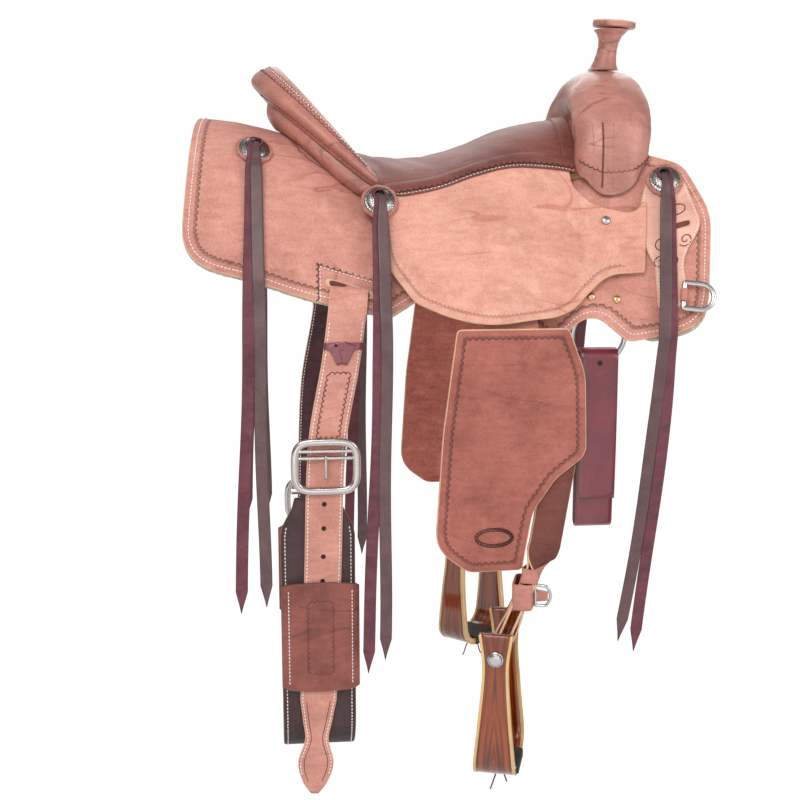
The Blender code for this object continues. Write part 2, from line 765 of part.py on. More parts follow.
def cantle_back_ring(turn):
    """The cantle's back leather, from under the roll down to the skirt."""
    share = ROLL_END_SHARE + (1 - ROLL_END_SHARE) * math.sqrt(math.cos(turn))
    lip = ROLL_SECTION[6]
    top = rim(turn, lip[0] * share, lip[1] * share - LAYER_GAP)
    width = CANTLE_FOOT.y * abs(math.sin(turn))
    x = CANTLE_FOOT_END + (CANTLE_FOOT.x - CANTLE_FOOT_END) * math.cos(turn)
    down = down_at_width(width, 3 * LAYER_GAP)
    seat = on_back(x, down, 3 * LAYER_GAP)
    foot = Vector((x, math.copysign(abs(seat.y), turn), seat.z))
    inward = (rim(turn) - rim(turn, 1.0)).normalized() * CANTLE_BACK_THICK
    inner_seat = on_back(x + inward.x, down_at_width(max(width - abs(inward.y), 0), 3 * LAYER_GAP), 3 * LAYER_GAP)
    inner_foot = Vector((foot.x + inward.x, foot.y + inward.y, max(inner_seat.z, foot.z)))
    middle = (top + foot) / 2 - inward * 0.6
    return [top, middle, foot, inner_foot, middle + inward, top + inward * 0.8]


# Horn


def horn_place(radius, height, angle):
    """A point round the horn's neck, which leans further forwards the higher it is."""
    x = radius * math.cos(angle) + math.tan(HORN_LEAN) * max(height, 0.0)
    return HORN_FOOT + Vector((x, radius * math.sin(angle), height))


def horn_core_rings():
    """The horn's steel-hard core: upright through the fork, then leaning inside the wraps."""
    heights = (-HORN_SINK, 0.0, HORN_NECK_HEIGHT - 0.006)
    return [[horn_place(HORN_CORE_RADIUS, height, a) for a in angles(16)] for height in heights]


def build_horn():
    bore = HORN_CORE_RADIUS + SEAT_GAP * 2
    profile = [(0.022, 0.0004), (0.0185, 0.006), (HORN_NECK_RADIUS + 0.001, 0.020), (HORN_NECK_RADIUS, 0.034),
               (0.017, 0.047), (0.024, 0.056), (0.026, HORN_NECK_HEIGHT), (bore, HORN_NECK_HEIGHT), (bore, 0.0004)]
    rings = [[horn_place(r, h, a) for a in angles(16)] for r, h in profile]
    add_faces(loft(rings, closed=True), "horn_wrap", LEATHER_SWELL, True)

    cap_turn = Matrix.Rotation(HORN_LEAN + HORN_CAP_TILT, 3, "Y")
    seat = horn_place(0.0, HORN_NECK_HEIGHT + 0.0025, 0.0)
    profile = [(0.024, 0.0), (HORN_CAP_RADIUS, 0.0015), (HORN_CAP_RADIUS, HORN_CAP_THICK - 0.002),
               (HORN_CAP_RADIUS - 0.003, HORN_CAP_THICK)]
    rings = []
    for r, h in profile:
        rings.append([seat + cap_turn @ Vector((r * math.cos(a) + 0.003, r * 0.94 * math.sin(a), h)) for a in angles(24)])
    add_faces(loft(rings), "horn_cap", LEATHER_SWELL, True)


# Seat


def build_seat():
    pad = seat_sheet((-1.0, 1.0), (0.0, 2.0), lambda a, b: 0.0, pad_depth, 18, 20)
    add_faces(pad, "seat_pad", LEATHER_SEAT, True)
    share = GROUND_SEAT_SHARE
    ground = seat_sheet(
        (-share, share), (0.1, 1.0),
        lambda a, b: pad_depth(a, b) + LAYER_GAP,
        lambda a, b: pad_depth(a, b) + LAYER_GAP + GROUND_SEAT_THICK, 14, 9,
    )
    add_faces(ground, "ground_seat", LEATHER_SKIRT, True)


def build_jockeys():
    for label, side in SIDES:
        bm = pattern(rounded(JOCKEY), JOCKEY_THICK)
        lay(bm, on_jockey, side, -JOCKEY_THICK)
        add_faces(bm, f"seat_jockey_{label}", LEATHER_ROUGHOUT)


# Skirts


def rectangle(x, y, length, width):
    return [Vector((x + sx * length / 2, y + sy * width / 2)) for sx, sy in ((-1, -1), (1, -1), (1, 1), (-1, 1))]


def build_skirts():
    fleece_outline = []
    for corner in SKIRT:
        if corner == SKIRT[6]:
            fleece_outline.extend(FLEECE_ARCH)
        elif corner not in (SKIRT[7], SKIRT[8]):
            fleece_outline.append(corner)
    slot = rectangle(SLOT_AT, SLOT_DOWN, SLOT_LENGTH, SLOT_WIDTH)
    for label, side in SIDES:
        skirt = pattern(rounded(SKIRT), SKIRT_THICK, holes=[slot])
        lay(skirt, on_back, side, -SKIRT_THICK)
        skirt = add_faces(skirt, f"skirt_{label}", LEATHER_SKIRT)
        join(skirt, ring_loop(label, side))
        fleece = pattern(rounded(fleece_outline), FLEECE_THICK, holes=[slot])
        lay(fleece, on_back, side, -SKIRT_THICK - LAYER_GAP - FLEECE_THICK)
        add_faces(fleece, f"fleece_lining_{label}", FLEECE)


def build_keepers():
    x, y, length, width = KEEPER_SLOT
    holes = [rectangle(x, y, length, width), circle(*KEEPER_HOLE)]
    for label, side in SIDES:
        bm = pattern(rounded(KEEPER), KEEPER_THICK, holes=holes)
        lay(bm, on_back, side, LAYER_GAP)
        keeper = add_faces(bm, f"front_keeper_{label}", LEATHER_KEEPER)
        spot, ahead, across = dee_axes(side)
        bore = DEE_WIRE + SEAT_GAP * 2
        loop = tube(spot, across, bore, DEE_TAB_RADIUS, DEE_TAB_LENGTH)
        join(keeper, helper(loop, f"dee_loop_{label}"))


# Conchos


def concho_seats(side):
    """Where the three conchos of one side sit: spot, way along, way out."""
    seats = []
    for place, (along, down), height, tilt in (
        (on_back, REAR_CONCHO, 2 * LAYER_GAP, 0.0),
        (on_jockey, MIDDLE_CONCHO, MIDDLE_CONCHO_LIFT, MIDDLE_CONCHO_TILT),
        (on_back, FRONT_CONCHO, KEEPER_THICK + 3 * LAYER_GAP, 0.0),
    ):
        spot, ahead, out = frame_on(place, along, down, height)
        out = Matrix.Rotation(tilt, 3, ahead) @ out
        seats.append((mirrored(spot, side), mirrored(ahead, side), mirrored(out, side)))
    return seats


def build_conchos():
    """Each silver concho with the scalloped leather rosette under it."""
    profile = ((ROSETTE_RADIUS, 0.0, 0.04), (ROSETTE_RADIUS, ROSETTE_THICK, 0.04),
               (CONCHO_RADIUS, ROSETTE_THICK + 0.0012, 0.0), (0.82 * CONCHO_RADIUS, ROSETTE_THICK + 0.6 * CONCHO_RISE, 0.0),
               (0.45 * CONCHO_RADIUS, ROSETTE_THICK + CONCHO_RISE, 0.0))
    for label, side in SIDES:
        for name, (spot, ahead, out) in zip(("rear", "middle", "front"), concho_seats(side)):
            across = out.cross(ahead)
            rings = []
            for radius, height, scallop in profile:
                ring = []
                for a in angles(ROSETTE_SCALLOPS * 2):
                    r = radius * (1 + scallop * math.cos(ROSETTE_SCALLOPS * a))
                    ring.append(spot + ahead * r * math.cos(a) + across * r * math.sin(a) + out * height)
                rings.append(ring)
            add_faces(loft(rings), f"concho_{name}_{label}", STEEL)


# Saddle strings


def string_height(beyond, bend):
    """How high a string runs over the leather, at a distance below its concho's centre."""
    over = ROSETTE_THICK + CONCHO_RISE + STRING_OFF
    past = ROSETTE_THICK + 2 * STRING_OFF
    if beyond < ROSETTE_RADIUS + 0.003:
        height = over + (past - over) * smoothstep((beyond - 0.008) / 0.02)
        return height + beyond * beyond / (2 * bend)
    flat = STRING_OFF + LAYER_GAP
    top = past + (ROSETTE_RADIUS + 0.003) ** 2 / (2 * bend)
    return flat + (top - flat) * (1 - smoothstep((beyond - ROSETTE_RADIUS - 0.003) / 0.012))


def string_fall(place, start, base, bend, edge, hang):
    """The line a pair of strings follows: from above its concho, down the leather, then hanging free."""
    along, down = start
    line = []
    for beyond in (-STRING_LOOP, 0.0, 0.010, CONCHO_RADIUS, 0.032, 0.085, 0.130, 0.175):
        if down + beyond < edge - 0.02:
            line.append(place(along, down + beyond, base + string_height(beyond, bend)))
    line.append(place(along, edge, base + STRING_OFF + LAYER_GAP))
    last = line[-1]
    for k in range(1, 5):
        t = k / 4
        out = -last.y + (hang + last.y) * smoothstep(t)
        line.append(Vector((along, -out, last.z - 0.090 * t)))
    line.append(Vector((along, -hang, last.z - 1.0)))
    return [(-p.y, p.z) for p in line]


def at_length(line, run):
    """The point (out, height) on a line after a run along it, and the way square to it."""
    for (y0, z0), (y1, z1) in zip(line, line[1:]):
        step = math.hypot(y1 - y0, z1 - z0)
        if run <= step or (y1, z1) == line[-1]:
            t = run / step
            return y0 + (y1 - y0) * t, z0 + (z1 - z0) * t, (z0 - z1) / step, (y1 - y0) / step
        run -= step


def string_outline(start_x, ends, length_at):
    """One lace, laid double through its concho: two tails side by side with pointed tips."""
    (x_a, z_a), (x_b, z_b) = sorted(ends)
    outline = []
    for x_end, z_end, sign in ((x_a, z_a, -1), (x_b, z_b, 1)):
        tip = length_at(z_end)
        neck = 2.2 * STRING_LOOP
        half = LACE_WIDTH / 2
        centre = x_end + (start_x - x_end) * STRING_TIP / tip
        inner = [(start_x + sign * 0.0008, STRING_LOOP * 0.9), (start_x + sign * 0.0008, neck),
                 (centre - sign * half, tip - STRING_TIP), (x_end - sign * 0.0012, tip)]
        outer = [(x_end + sign * 0.0012, tip), (centre + sign * half, tip - STRING_TIP),
                 (start_x + sign * (0.0008 + LACE_WIDTH * 0.7), neck), (start_x + sign * 0.0095, STRING_LOOP * 0.6),
                 (start_x + sign * 0.006, 0.0)]
        outline.append((inner, outer))
    (left_in, left_out), (right_in, right_out) = outline
    loop = [*left_in, *left_out, *right_out[::-1], *right_in[::-1]]
    return [Vector(p) for p in loop]


def build_strings():
    groups = (
        ("rear", REAR_CONCHO, on_back, 2 * LAYER_GAP, 0.13, REAR_STRINGS, 0.322, STRING_HANG),
        ("middle", MIDDLE_CONCHO, on_jockey, MIDDLE_CONCHO_LIFT + 2 * LAYER_GAP, 0.40, MIDDLE_STRINGS, 0.120, STRING_HANG),
        ("front", FRONT_CONCHO, on_back, KEEPER_THICK + 3 * LAYER_GAP, 0.13, FRONT_STRINGS, 0.392, FRONT_STRING_HANG),
    )
    for label, side in SIDES:
        for name, concho, place, base, bend, ends, edge, hang in groups:
            line = string_fall(place, concho, base, bend, edge, hang)
            runs = [0.0]
            for a, b in zip(line, line[1:]):
                runs.append(runs[-1] + math.dist(a, b))

            def length_at(z):
                return runs[-2] + line[-2][1] - z

            bm = pattern(string_outline(concho[0], ends, length_at), LACE_THICK, FLAT, False, bends=runs[1:-1])

            def hung(x, run, h):
                y, z, out_y, out_z = at_length(line, run)
                ridge = back_height(x) - back_height(concho[0]) if place is on_back else 0.0
                return Vector((x, -(y + out_y * h), z + out_z * h + ridge))

            lay(bm, hung, side)
            add_faces(bm, f"saddle_strings_{name}_{label}", LEATHER_LACE)


# Dees and front rigging


def tube(centre, way, inner, outer, length, count=12):
    """A leather loop round a bar: a hollow tube along a way."""
    way = way.normalized()
    first = way.orthogonal().normalized()
    second = way.cross(first)
    rings = []
    for radius, end in ((outer, -0.5), (outer, 0.5), (inner, 0.5), (inner, -0.5)):
        rings.append([
            centre + way * length * end + (first * math.cos(a) + second * math.sin(a)) * radius for a in angles(count)
        ])
    return loft(rings, closed=True)


def dee_axes(side):
    """Where a dee hangs on its plate: its bar's middle, the way it points, and the way of its bar."""
    spot, ahead, out = frame_on(on_back, *DEE_AT, DEE_TAB_RADIUS + KEEPER_THICK)
    turn = Matrix.Rotation(DEE_TURN, 3, out)
    across = turn @ out.cross(ahead)
    return mirrored(spot, side), mirrored(turn @ ahead, side), mirrored(across, side)


def build_dees():
    half = DEE_WIDTH / 2
    shape = [Vector((0, -half)), Vector((0, 0)), Vector((0, half))]
    for k in range(9):
        a = math.pi / 2 - math.pi * k / 8
        shape.append(Vector((DEE_DEPTH - half + half * math.cos(a), half * math.sin(a))))
    for label, side in SIDES:
        spot, ahead, across = dee_axes(side)
        wire(f"breast_dee_{label}", [spot + ahead * p.x + across * p.y for p in shape], DEE_WIRE, STEEL, cyclic=True)


def ring_centre(side):
    return mirrored(Vector((RING_AT.x, -RING_AT.y, RING_AT.z)), side)


def ring_loop(label, side):
    """The rigging leather's loop round the ring's top."""
    top = ring_centre(side) + Vector((0, 0, RING_RADIUS))
    loop = tube(top, Vector((1, 0, 0)), RING_WIRE + RING_PLAY, RING_TAB_RADIUS, RING_TAB_LENGTH)
    return helper(loop, f"ring_loop_{label}")


def build_rigging_rings():
    for label, side in SIDES:
        centre = ring_centre(side)
        ring = [centre + Vector((math.cos(a), 0, math.sin(a))) * RING_RADIUS for a in angles(20)]
        wire(f"rigging_ring_{label}", ring, RING_WIRE, STEEL, cyclic=True, resolution=1)


def build_billets():
    for (label, side), name in zip(SIDES, ("off_billet", "near_latigo")):
        middle = RING_AT.y
        outer = middle + BILLET_HALF_DEPTH - STRAP_THICK / 2
        inner = middle - BILLET_HALF_DEPTH + STRAP_THICK / 2
        bend = (outer - inner) / 2
        centre = (outer + inner) / 2
        line = [(outer, BILLET_BOTTOM + 0.045), (outer, (BILLET_BOTTOM + BILLET_TOP) / 2), (outer, BILLET_TOP - 0.03)]
        for k in range(7):
            a = math.pi * k / 6
            line.append((centre + bend * math.cos(a), BILLET_TOP - STRAP_THICK / 2 - bend + bend * math.sin(a)))
        line.append((inner, BILLET_TOP - 0.05))
        low = bend - STRAP_THICK - 0.001
        for k in range(7):
            a = math.pi * k / 6
            line.append((inner + low - low * math.cos(a), BILLET_BOTTOM + STRAP_THICK / 2 + low - low * math.sin(a)))
        line.append((inner + 2 * low, BILLET_TUCK))
        points = [mirrored(Vector((RING_AT.x, -y, z)), side) for y, z in line]
        add_faces(level_strap(points, [BILLET_WIDTH] * len(points), STRAP_THICK), name, LEATHER_LATIGO)


# Flank rigging


def build_flank_straps():
    for label, side in SIDES:
        heights = [FLANK_TOP - k * 0.024 for k in range(24)] + [z for z, _ in FLANK_TIP_WIDTHS[::-1]]
        points = []
        widths = []
        for z in heights:
            width = FLANK_STRAP_WIDTH if z > FLANK_TIP_WIDTHS[-1][0] else tip_width(z)
            hang = FLANK_HANG - FLANK_TUCK * smoothstep((z - FLANK_TUCK_BELOW) / FLANK_TUCK_LENGTH)
            points.append(mirrored(Vector((flank_line(z), -hang, z)), side))
            widths.append(width)
        add_faces(level_strap(points, widths, STRAP_THICK), f"flank_billet_{label}", LEATHER_SKIRT)


def build_flank_buckles():
    half = BUCKLE_WIDTH / 2
    rise = BUCKLE_HEIGHT / 2
    out = FLANK_HANG + STRAP_THICK / 2 + BUCKLE_WIRE + SEAT_GAP
    shape = ((-0.76, 1.0), (0.76, 1.0), (0.93, 0.66), (1.0, 0.0), (0.93, -0.66),
             (0.76, -1.0), (-0.76, -1.0), (-0.93, -0.66), (-1.0, 0.0), (-0.93, 0.66))
    for label, side in SIDES:
        middle = BUCKLE_AT[label]
        points = [mirrored(Vector((flank_line(middle) + x * half, -out, middle + z * rise)), side) for x, z in shape]
        wire(f"flank_buckle_{label}", points, BUCKLE_WIRE, STEEL, cyclic=True)


def build_flank_cinch():
    """The broad cinch hangs in a U from buckle to buckle."""
    hang = FLANK_HANG - STRAP_THICK / 2 - SEAT_GAP * 2 - CINCH_THICK / 2
    tops = {label: BUCKLE_AT[label] - CINCH_BELOW_BUCKLE for label, _ in SIDES}
    points = [Vector((CINCH_AT, -hang, tops["off"])), Vector((CINCH_AT, -hang, (tops["off"] + CINCH_BOTTOM) / 2))]
    base = CINCH_BOTTOM + CINCH_THICK / 2
    for start, centre_y in ((math.pi, -hang + CINCH_CORNER), (1.5 * math.pi, hang - CINCH_CORNER)):
        for k in range(7):
            a = start + math.pi / 2 * k / 6
            points.append(Vector((
                CINCH_AT, centre_y + CINCH_CORNER * math.cos(a), base + CINCH_CORNER + CINCH_CORNER * math.sin(a)
            )))
    points += [Vector((CINCH_AT, hang, (tops["near"] + CINCH_BOTTOM) / 2)), Vector((CINCH_AT, hang, tops["near"]))]
    widths = [CINCH_WIDTH] * len(points)
    widths[0] = widths[-1] = CINCH_WIDTH * 0.55
    add_faces(level_strap(points, widths, CINCH_THICK), "flank_cinch", LEATHER_CINCH)


def build_flank_patches():
    """The leather keeper on each end of the cinch, which the strap's tip passes under."""
    out = FLANK_HANG + STRAP_THICK / 2 + SEAT_GAP * 2
    half = PATCH_WIDTH / 2
    inner = FLANK_HANG - STRAP_THICK / 2 - SEAT_GAP
    for label, side in SIDES:
        middle = PATCH_TOP[label] - PATCH_HEIGHT / 2
        x = flank_line(middle)
        section = [(-half, inner), (-half, inner + 0.003), (-half + 0.016, out + STRAP_THICK), (half - 0.016, out + STRAP_THICK),
                   (half, inner + 0.003), (half, inner), (half - 0.012, inner), (half - 0.021, out), (-half + 0.021, out),
                   (-half + 0.012, inner)]
        rings = []
        for z in (PATCH_TOP[label], middle, PATCH_TOP[label] - PATCH_HEIGHT):
            rings.append([mirrored(Vector((x + dx, -y, z)), side) for dx, y in section])
        add_faces(loft(rings), f"cinch_keeper_{label}", LEATHER_SKIRT)


# Fenders, stirrup leathers and stirrups


def hanging(hang):
    """Carries a flat piece's points (along, height, thickness) to an upright plane on the off side."""
    return lambda x, z, h: Vector((x, -(hang + h), z))


def upper_leather_place():
    """The flat stretch of leather from the bar down to the fender's fold, inside the jockey."""
    low = Vector((0.0, FENDER_THICK / 2 + SEAT_GAP - LEATHER_HANG, FENDER_TOP - LEATHER_LAP))
    high = Vector((0.0, -LEATHER_TOP[0], LEATHER_TOP[1]))
    down = (low - high).normalized()
    return high, down, Vector((0.0, down.z, -down.y)), (low - high).length


def build_leathers():
    high, down, out, length = upper_leather_place()
    upper = rectangle(LEATHER_AT, length / 2, UPPER_LEATHER_WIDTH, length)
    for label, side in SIDES:
        bm = pattern(upper, STRAP_THICK, FLAT, False)
        lay(bm, lambda a, s, h: Vector((a, 0, 0)) + high + down * s - out * h, side)
        add_faces(bm, f"upper_leather_{label}", LEATHER_FENDER)
        fender = pattern(rounded(FENDER), FENDER_THICK, FLAT, False)
        lay(fender, hanging(LEATHER_HANG - FENDER_THICK / 2), side)
        add_faces(fender, f"fender_{label}", LEATHER_FENDER)


def stirrup_frame(label, side):
    """The stirrup's own axes: its place, the way across it (bolt), and the way through it."""
    turn = STIRRUP_TURN[label]
    across = Vector((math.sin(-turn), math.cos(turn), 0.0))
    through = Vector((math.cos(turn), -math.sin(-turn), 0.0))
    return Vector((STIRRUP_AT[label], STIRRUP_OUT * side, 0.0)), across, through


def leather_centre(label, side, z):
    """Where the doubled stirrup leather runs at a height, between fender and bolt."""
    spot, _, _ = stirrup_frame(label, side)
    top = Vector((NECK_AT[0], NECK_AT[1] * side, 0.0))
    if z > NECK_TOP:
        return top + Vector(((NECK_HEAD[0] - NECK_AT[0]) * (z - NECK_TOP) / (NECK_HEAD[1] - NECK_TOP), 0, z))
    share = (NECK_TOP - z) / (NECK_TOP - STIRRUP_BOLT_HEIGHT)
    return top.lerp(spot, share) + Vector((0, 0, z))


def build_necks():
    """The doubled leather between fender and stirrup: it goes down, turns, rounds the bolt and comes up again."""
    heights = (NECK_HEAD[1], NECK_TOP, HOBBLE_TOP + 0.026, HOBBLE_TOP + 0.012, HOBBLE_TOP, HOBBLE_BOTTOM, STIRRUP_TOP)
    for label, side in SIDES:
        spot, across, through = stirrup_frame(label, side)
        bolt = BOLT_RADIUS + BOLT_PLAY + STRAP_THICK / 2
        plies = {-1: [], 1: []}
        ways = []
        for z in heights:
            turned = smoothstep((NECK_TOP - z) / (NECK_TOP - HOBBLE_TOP))
            way = Vector((1, 0, 0)).lerp(across, turned).normalized()
            out = Vector((0, 0, 1)).cross(way)
            spread = NECK_PLY + (bolt - NECK_PLY) * turned
            ways.append(way)
            for sign in plies:
                plies[sign].append(leather_centre(label, side, z) + out * sign * spread)
        low = spot + Vector((0, 0, STIRRUP_BOLT_HEIGHT))
        out = Vector((0, 0, 1)).cross(across)
        bend = [low + out * bolt * math.cos(a) - Vector((0, 0, bolt * math.sin(a)))
                for a in (math.pi * k / 8 for k in range(9))]
        points = plies[1] + bend + plies[-1][::-1]
        ways = ways + [across] * len(bend) + ways[::-1]
        bm = strap(points, ways, [NECK_WIDTH] * len(points), STRAP_THICK)
        add_faces(bm, f"stirrup_loop_{label}", LEATHER_FENDER)


def band(top, bottom, across, through, half_across, half_through, thick):
    """A leather band round the leathers: a rounded rectangle seen from above, open up and down."""
    rings = []
    for grow, centre in ((thick, top), (thick, bottom), (0.0, bottom), (0.0, top)):
        corners = rounded([(sx * (half_through + grow), sy * (half_across + grow), SEAT_GAP + grow)
                           for sx, sy in ((-1, -1), (1, -1), (1, 1), (-1, 1))])
        rings.append([centre + through * p.x + across * p.y for p in corners])
    return loft(rings, closed=True)


def build_hobbles():
    half_across = NECK_WIDTH / 2 + 0.0010
    half_through = BOLT_RADIUS + BOLT_PLAY + STRAP_THICK + 0.0013
    for label, side in SIDES:
        _, across, through = stirrup_frame(label, side)
        top = leather_centre(label, side, HOBBLE_TOP - 0.001)
        bottom = leather_centre(label, side, HOBBLE_BOTTOM)
        hobble = band(top, bottom, across, through, half_across, half_through, HOBBLE_THICK)
        add_faces(hobble, f"hobble_strap_{label}", LEATHER_SKIRT)
        reach = half_through + HOBBLE_THICK + HOBBLE_BUCKLE_WIRE + SEAT_GAP
        beside = across * half_across * 0.45 * side
        middle = (HOBBLE_TOP + HOBBLE_BOTTOM) / 2
        shape = ((0.0, -0.014), (0.0, 0.014), (0.016, 0.013), (0.021, 0.0), (0.016, -0.013))
        points = [leather_centre(label, side, middle + dz) + beside + through * (reach + dx) for dx, dz in shape]
        wire(f"hobble_buckle_{label}", points, HOBBLE_BUCKLE_WIRE, STEEL, cyclic=True)


def stirrup_path():
    """The bent wood strip's centre line across the stirrup: down one leg, round the tread, up the other."""
    half = STIRRUP_HALF_WIDTH
    base = STIRRUP_BOTTOM + STIRRUP_WOOD / 2
    neck = half * STIRRUP_NARROWING
    leg = [(neck, STIRRUP_TOP), (neck, STIRRUP_BOLT_HEIGHT - 1.5 * BOLT_HEAD_RADIUS), (half, -0.620)]
    path = [(-y, z) for y, z in leg]
    for start, centre in ((math.pi, -half + STIRRUP_CORNER), (1.5 * math.pi, half - STIRRUP_CORNER)):
        for k in range(6):
            a = start + math.pi / 2 * k / 5
            path.append((centre + STIRRUP_CORNER * math.cos(a), base + STIRRUP_CORNER + STIRRUP_CORNER * math.sin(a)))
    return path + leg[::-1]


def build_stirrups():
    path = stirrup_path()
    for label, side in SIDES:
        spot, across, through = stirrup_frame(label, side)
        points = [spot + across * y + Vector((0, 0, z)) for y, z in path]
        widths = [stirrup_depths(z) for _, z in path]
        bm = strap(points, [through] * len(points), widths, STIRRUP_WOOD)
        wood = add_faces(bm, f"stirrup_{label}", STIRRUP_WOOD_FINISH)
        centre = spot + Vector((0, 0, STIRRUP_BOLT_HEIGHT))
        cut(wood, helper(rod(centre, across, BOLT_RADIUS + SEAT_GAP, 4 * STIRRUP_HALF_WIDTH), f"bolt_hole_{label}"))
        build_bolt(label, spot, across)
        build_tread(label, spot, across, through)


def build_bolt(label, spot, across):
    """A bolt through both legs with a round head on each outer face."""
    centre = spot + Vector((0, 0, STIRRUP_BOLT_HEIGHT))
    leg = STIRRUP_HALF_WIDTH * STIRRUP_NARROWING + STIRRUP_WOOD / 2 + SEAT_GAP
    side_way = across.cross(Vector((0, 0, 1)))
    profile = [(BOLT_HEAD_RADIUS * 0.6, -leg - BOLT_HEAD_THICK), (BOLT_HEAD_RADIUS, -leg - 0.0015), (BOLT_HEAD_RADIUS, -leg),
               (BOLT_RADIUS, -leg), (BOLT_RADIUS, leg), (BOLT_HEAD_RADIUS, leg), (BOLT_HEAD_RADIUS, leg + 0.0015),
               (BOLT_HEAD_RADIUS * 0.6, leg + BOLT_HEAD_THICK)]
    rings = []
    for radius, y in profile:
        rings.append([
            centre + across * y + (side_way * math.cos(a) + Vector((0, 0, 1)) * math.sin(a)) * radius for a in angles(16)
        ])
    add_faces(loft(rings), f"stirrup_bolt_{label}", STEEL, True)


def build_tread(label, spot, across, through):
    """The leather round the stirrup's tread: a sleeve over the wood's flat base."""
    half = STIRRUP_HALF_WIDTH - STIRRUP_CORNER
    base = STIRRUP_BOTTOM + STIRRUP_WOOD / 2
    depth = stirrup_depths(STIRRUP_BOTTOM) / 2 + SEAT_GAP
    rise = STIRRUP_WOOD / 2 + SEAT_GAP
    rings = []
    for grow, y in ((TREAD_THICK, -half), (TREAD_THICK, half), (0.0, half), (0.0, -half)):
        ring = []
        for sx, sz in ((-1, -1), (1, -1), (1, 1), (-1, 1)):
            ring.append(spot + across * y + through * sx * (depth + grow) + Vector((0, 0, base + sz * (rise + grow))))
        rings.append(ring)
    add_faces(loft(rings, closed=True), f"stirrup_tread_{label}", LEATHER_CINCH)


clear_scene()
saddle = collection("cow_horse_saddle")
helpers = collection("helpers")
SECTION = section_table()
seat_line = line_through(SEAT_LINE)
seat_edge_width = line_through(SEAT_EDGE_WIDTH)
seat_edge_height = line_through(SEAT_EDGE_HEIGHT)
flank_line = line_through(FLANK_LINE)
tip_width = line_through(FLANK_TIP_WIDTHS)
stirrup_depths = line_through(STIRRUP_DEPTHS)

build_bars()
build_fork()
build_cantle()
build_horn()
build_seat()
build_jockeys()
build_skirts()
build_keepers()
build_conchos()
build_strings()
build_dees()
build_rigging_rings()
build_billets()
build_flank_straps()
build_flank_buckles()
build_flank_cinch()
build_flank_patches()
build_leathers()
build_necks()
build_hobbles()
build_stirrups()
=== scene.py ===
"""Looks of a western cow horse saddle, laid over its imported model.

+X runs forward to the horn, +Z up, and Y across: the off side is at -Y and faces the camera.
Every surface is a formula worked out on a grid; the same curves of the back, the seat and the rim
carry the leather here that carry the solids.
"""

import math

import bmesh
import bpy
import numpy as np
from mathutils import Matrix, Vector


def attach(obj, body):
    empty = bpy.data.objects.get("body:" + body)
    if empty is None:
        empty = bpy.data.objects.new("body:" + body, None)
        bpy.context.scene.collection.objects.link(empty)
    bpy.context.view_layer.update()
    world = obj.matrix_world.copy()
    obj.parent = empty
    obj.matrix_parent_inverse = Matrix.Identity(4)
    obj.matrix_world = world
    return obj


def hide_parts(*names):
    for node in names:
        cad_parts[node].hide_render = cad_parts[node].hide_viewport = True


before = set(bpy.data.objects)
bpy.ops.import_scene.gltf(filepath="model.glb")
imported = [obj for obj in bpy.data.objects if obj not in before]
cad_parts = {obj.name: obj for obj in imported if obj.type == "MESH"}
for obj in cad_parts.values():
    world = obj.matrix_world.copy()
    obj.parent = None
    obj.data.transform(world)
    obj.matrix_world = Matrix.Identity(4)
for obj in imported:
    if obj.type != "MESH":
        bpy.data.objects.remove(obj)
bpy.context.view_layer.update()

bl_info = {
    "name": "Cow horse saddle looks",
    "version": (1, 0, 0),
    "blender": (4, 5, 0),
    "location": "View3D > Sidebar > Saddle",
    "description": "Dresses the packed saddle in tooled leather, fleece, wood and silver",
    "category": "Object",
}

SIDES = (("off", -1.0), ("near", 1.0))
ENDS = (("a", -1), ("b", 1))
UP = np.array((0.0, 0.0, 1.0))
GAP = 0.0007


# Numbers that the solids share


def smooth(t):
    """0 below 0, 1 above 1, and the cubic 3t^2 - 2t^3 between."""
    t = np.clip(t, 0.0, 1.0)
    return t * t * (3 - 2 * t)


def line_through(points):
    """A Hermite curve y(x) through points, its slopes taken from each point's two neighbours."""
    xs = np.array([p[0] for p in points])
    ys = np.array([p[1] for p in points])
    last = len(xs) - 1
    slopes = np.array([
        (ys[min(i + 1, last)] - ys[max(i - 1, 0)]) / (xs[min(i + 1, last)] - xs[max(i - 1, 0)])
        for i in range(len(xs))
    ])

    def value(x):
        x = np.asarray(x, dtype=float)
        i = np.clip(np.searchsorted(xs, x, side="right") - 1, 0, last - 1)
        h = xs[i + 1] - xs[i]
        t = (x - xs[i]) / h
        body = ((2 * t**3 - 3 * t**2 + 1) * ys[i] + (t**3 - 2 * t**2 + t) * h * slopes[i]
                + (3 * t**2 - 2 * t**3) * ys[i + 1] + (t**3 - t**2) * h * slopes[i + 1])
        low = ys[0] + slopes[0] * (x - xs[0])
        high = ys[-1] + slopes[-1] * (x - xs[-1])
        return np.where(x < xs[0], low, np.where(x > xs[-1], high, body))

    return value


STEEPEST = math.radians(67)
EASE = 0.13
STEP = 0.002
STEPS = 230
FARTHEST = 0.45
HALVINGS = 26


def back_slope(s):
    """The back's slope at a run s from the ridge: 67 degrees times 1 - exp(-(s / 0.13)^2)."""
    return STEEPEST * (1 - np.exp(-((s / EASE) ** 2)))


_slopes = back_slope((np.arange(STEPS) + 0.5) * STEP)
SECTION_S = np.arange(STEPS + 1) * STEP
SECTION_Y = np.concatenate([[0.0], np.cumsum(STEP * np.cos(_slopes))])
SECTION_Z = np.concatenate([[0.0], np.cumsum(STEP * np.sin(_slopes))])

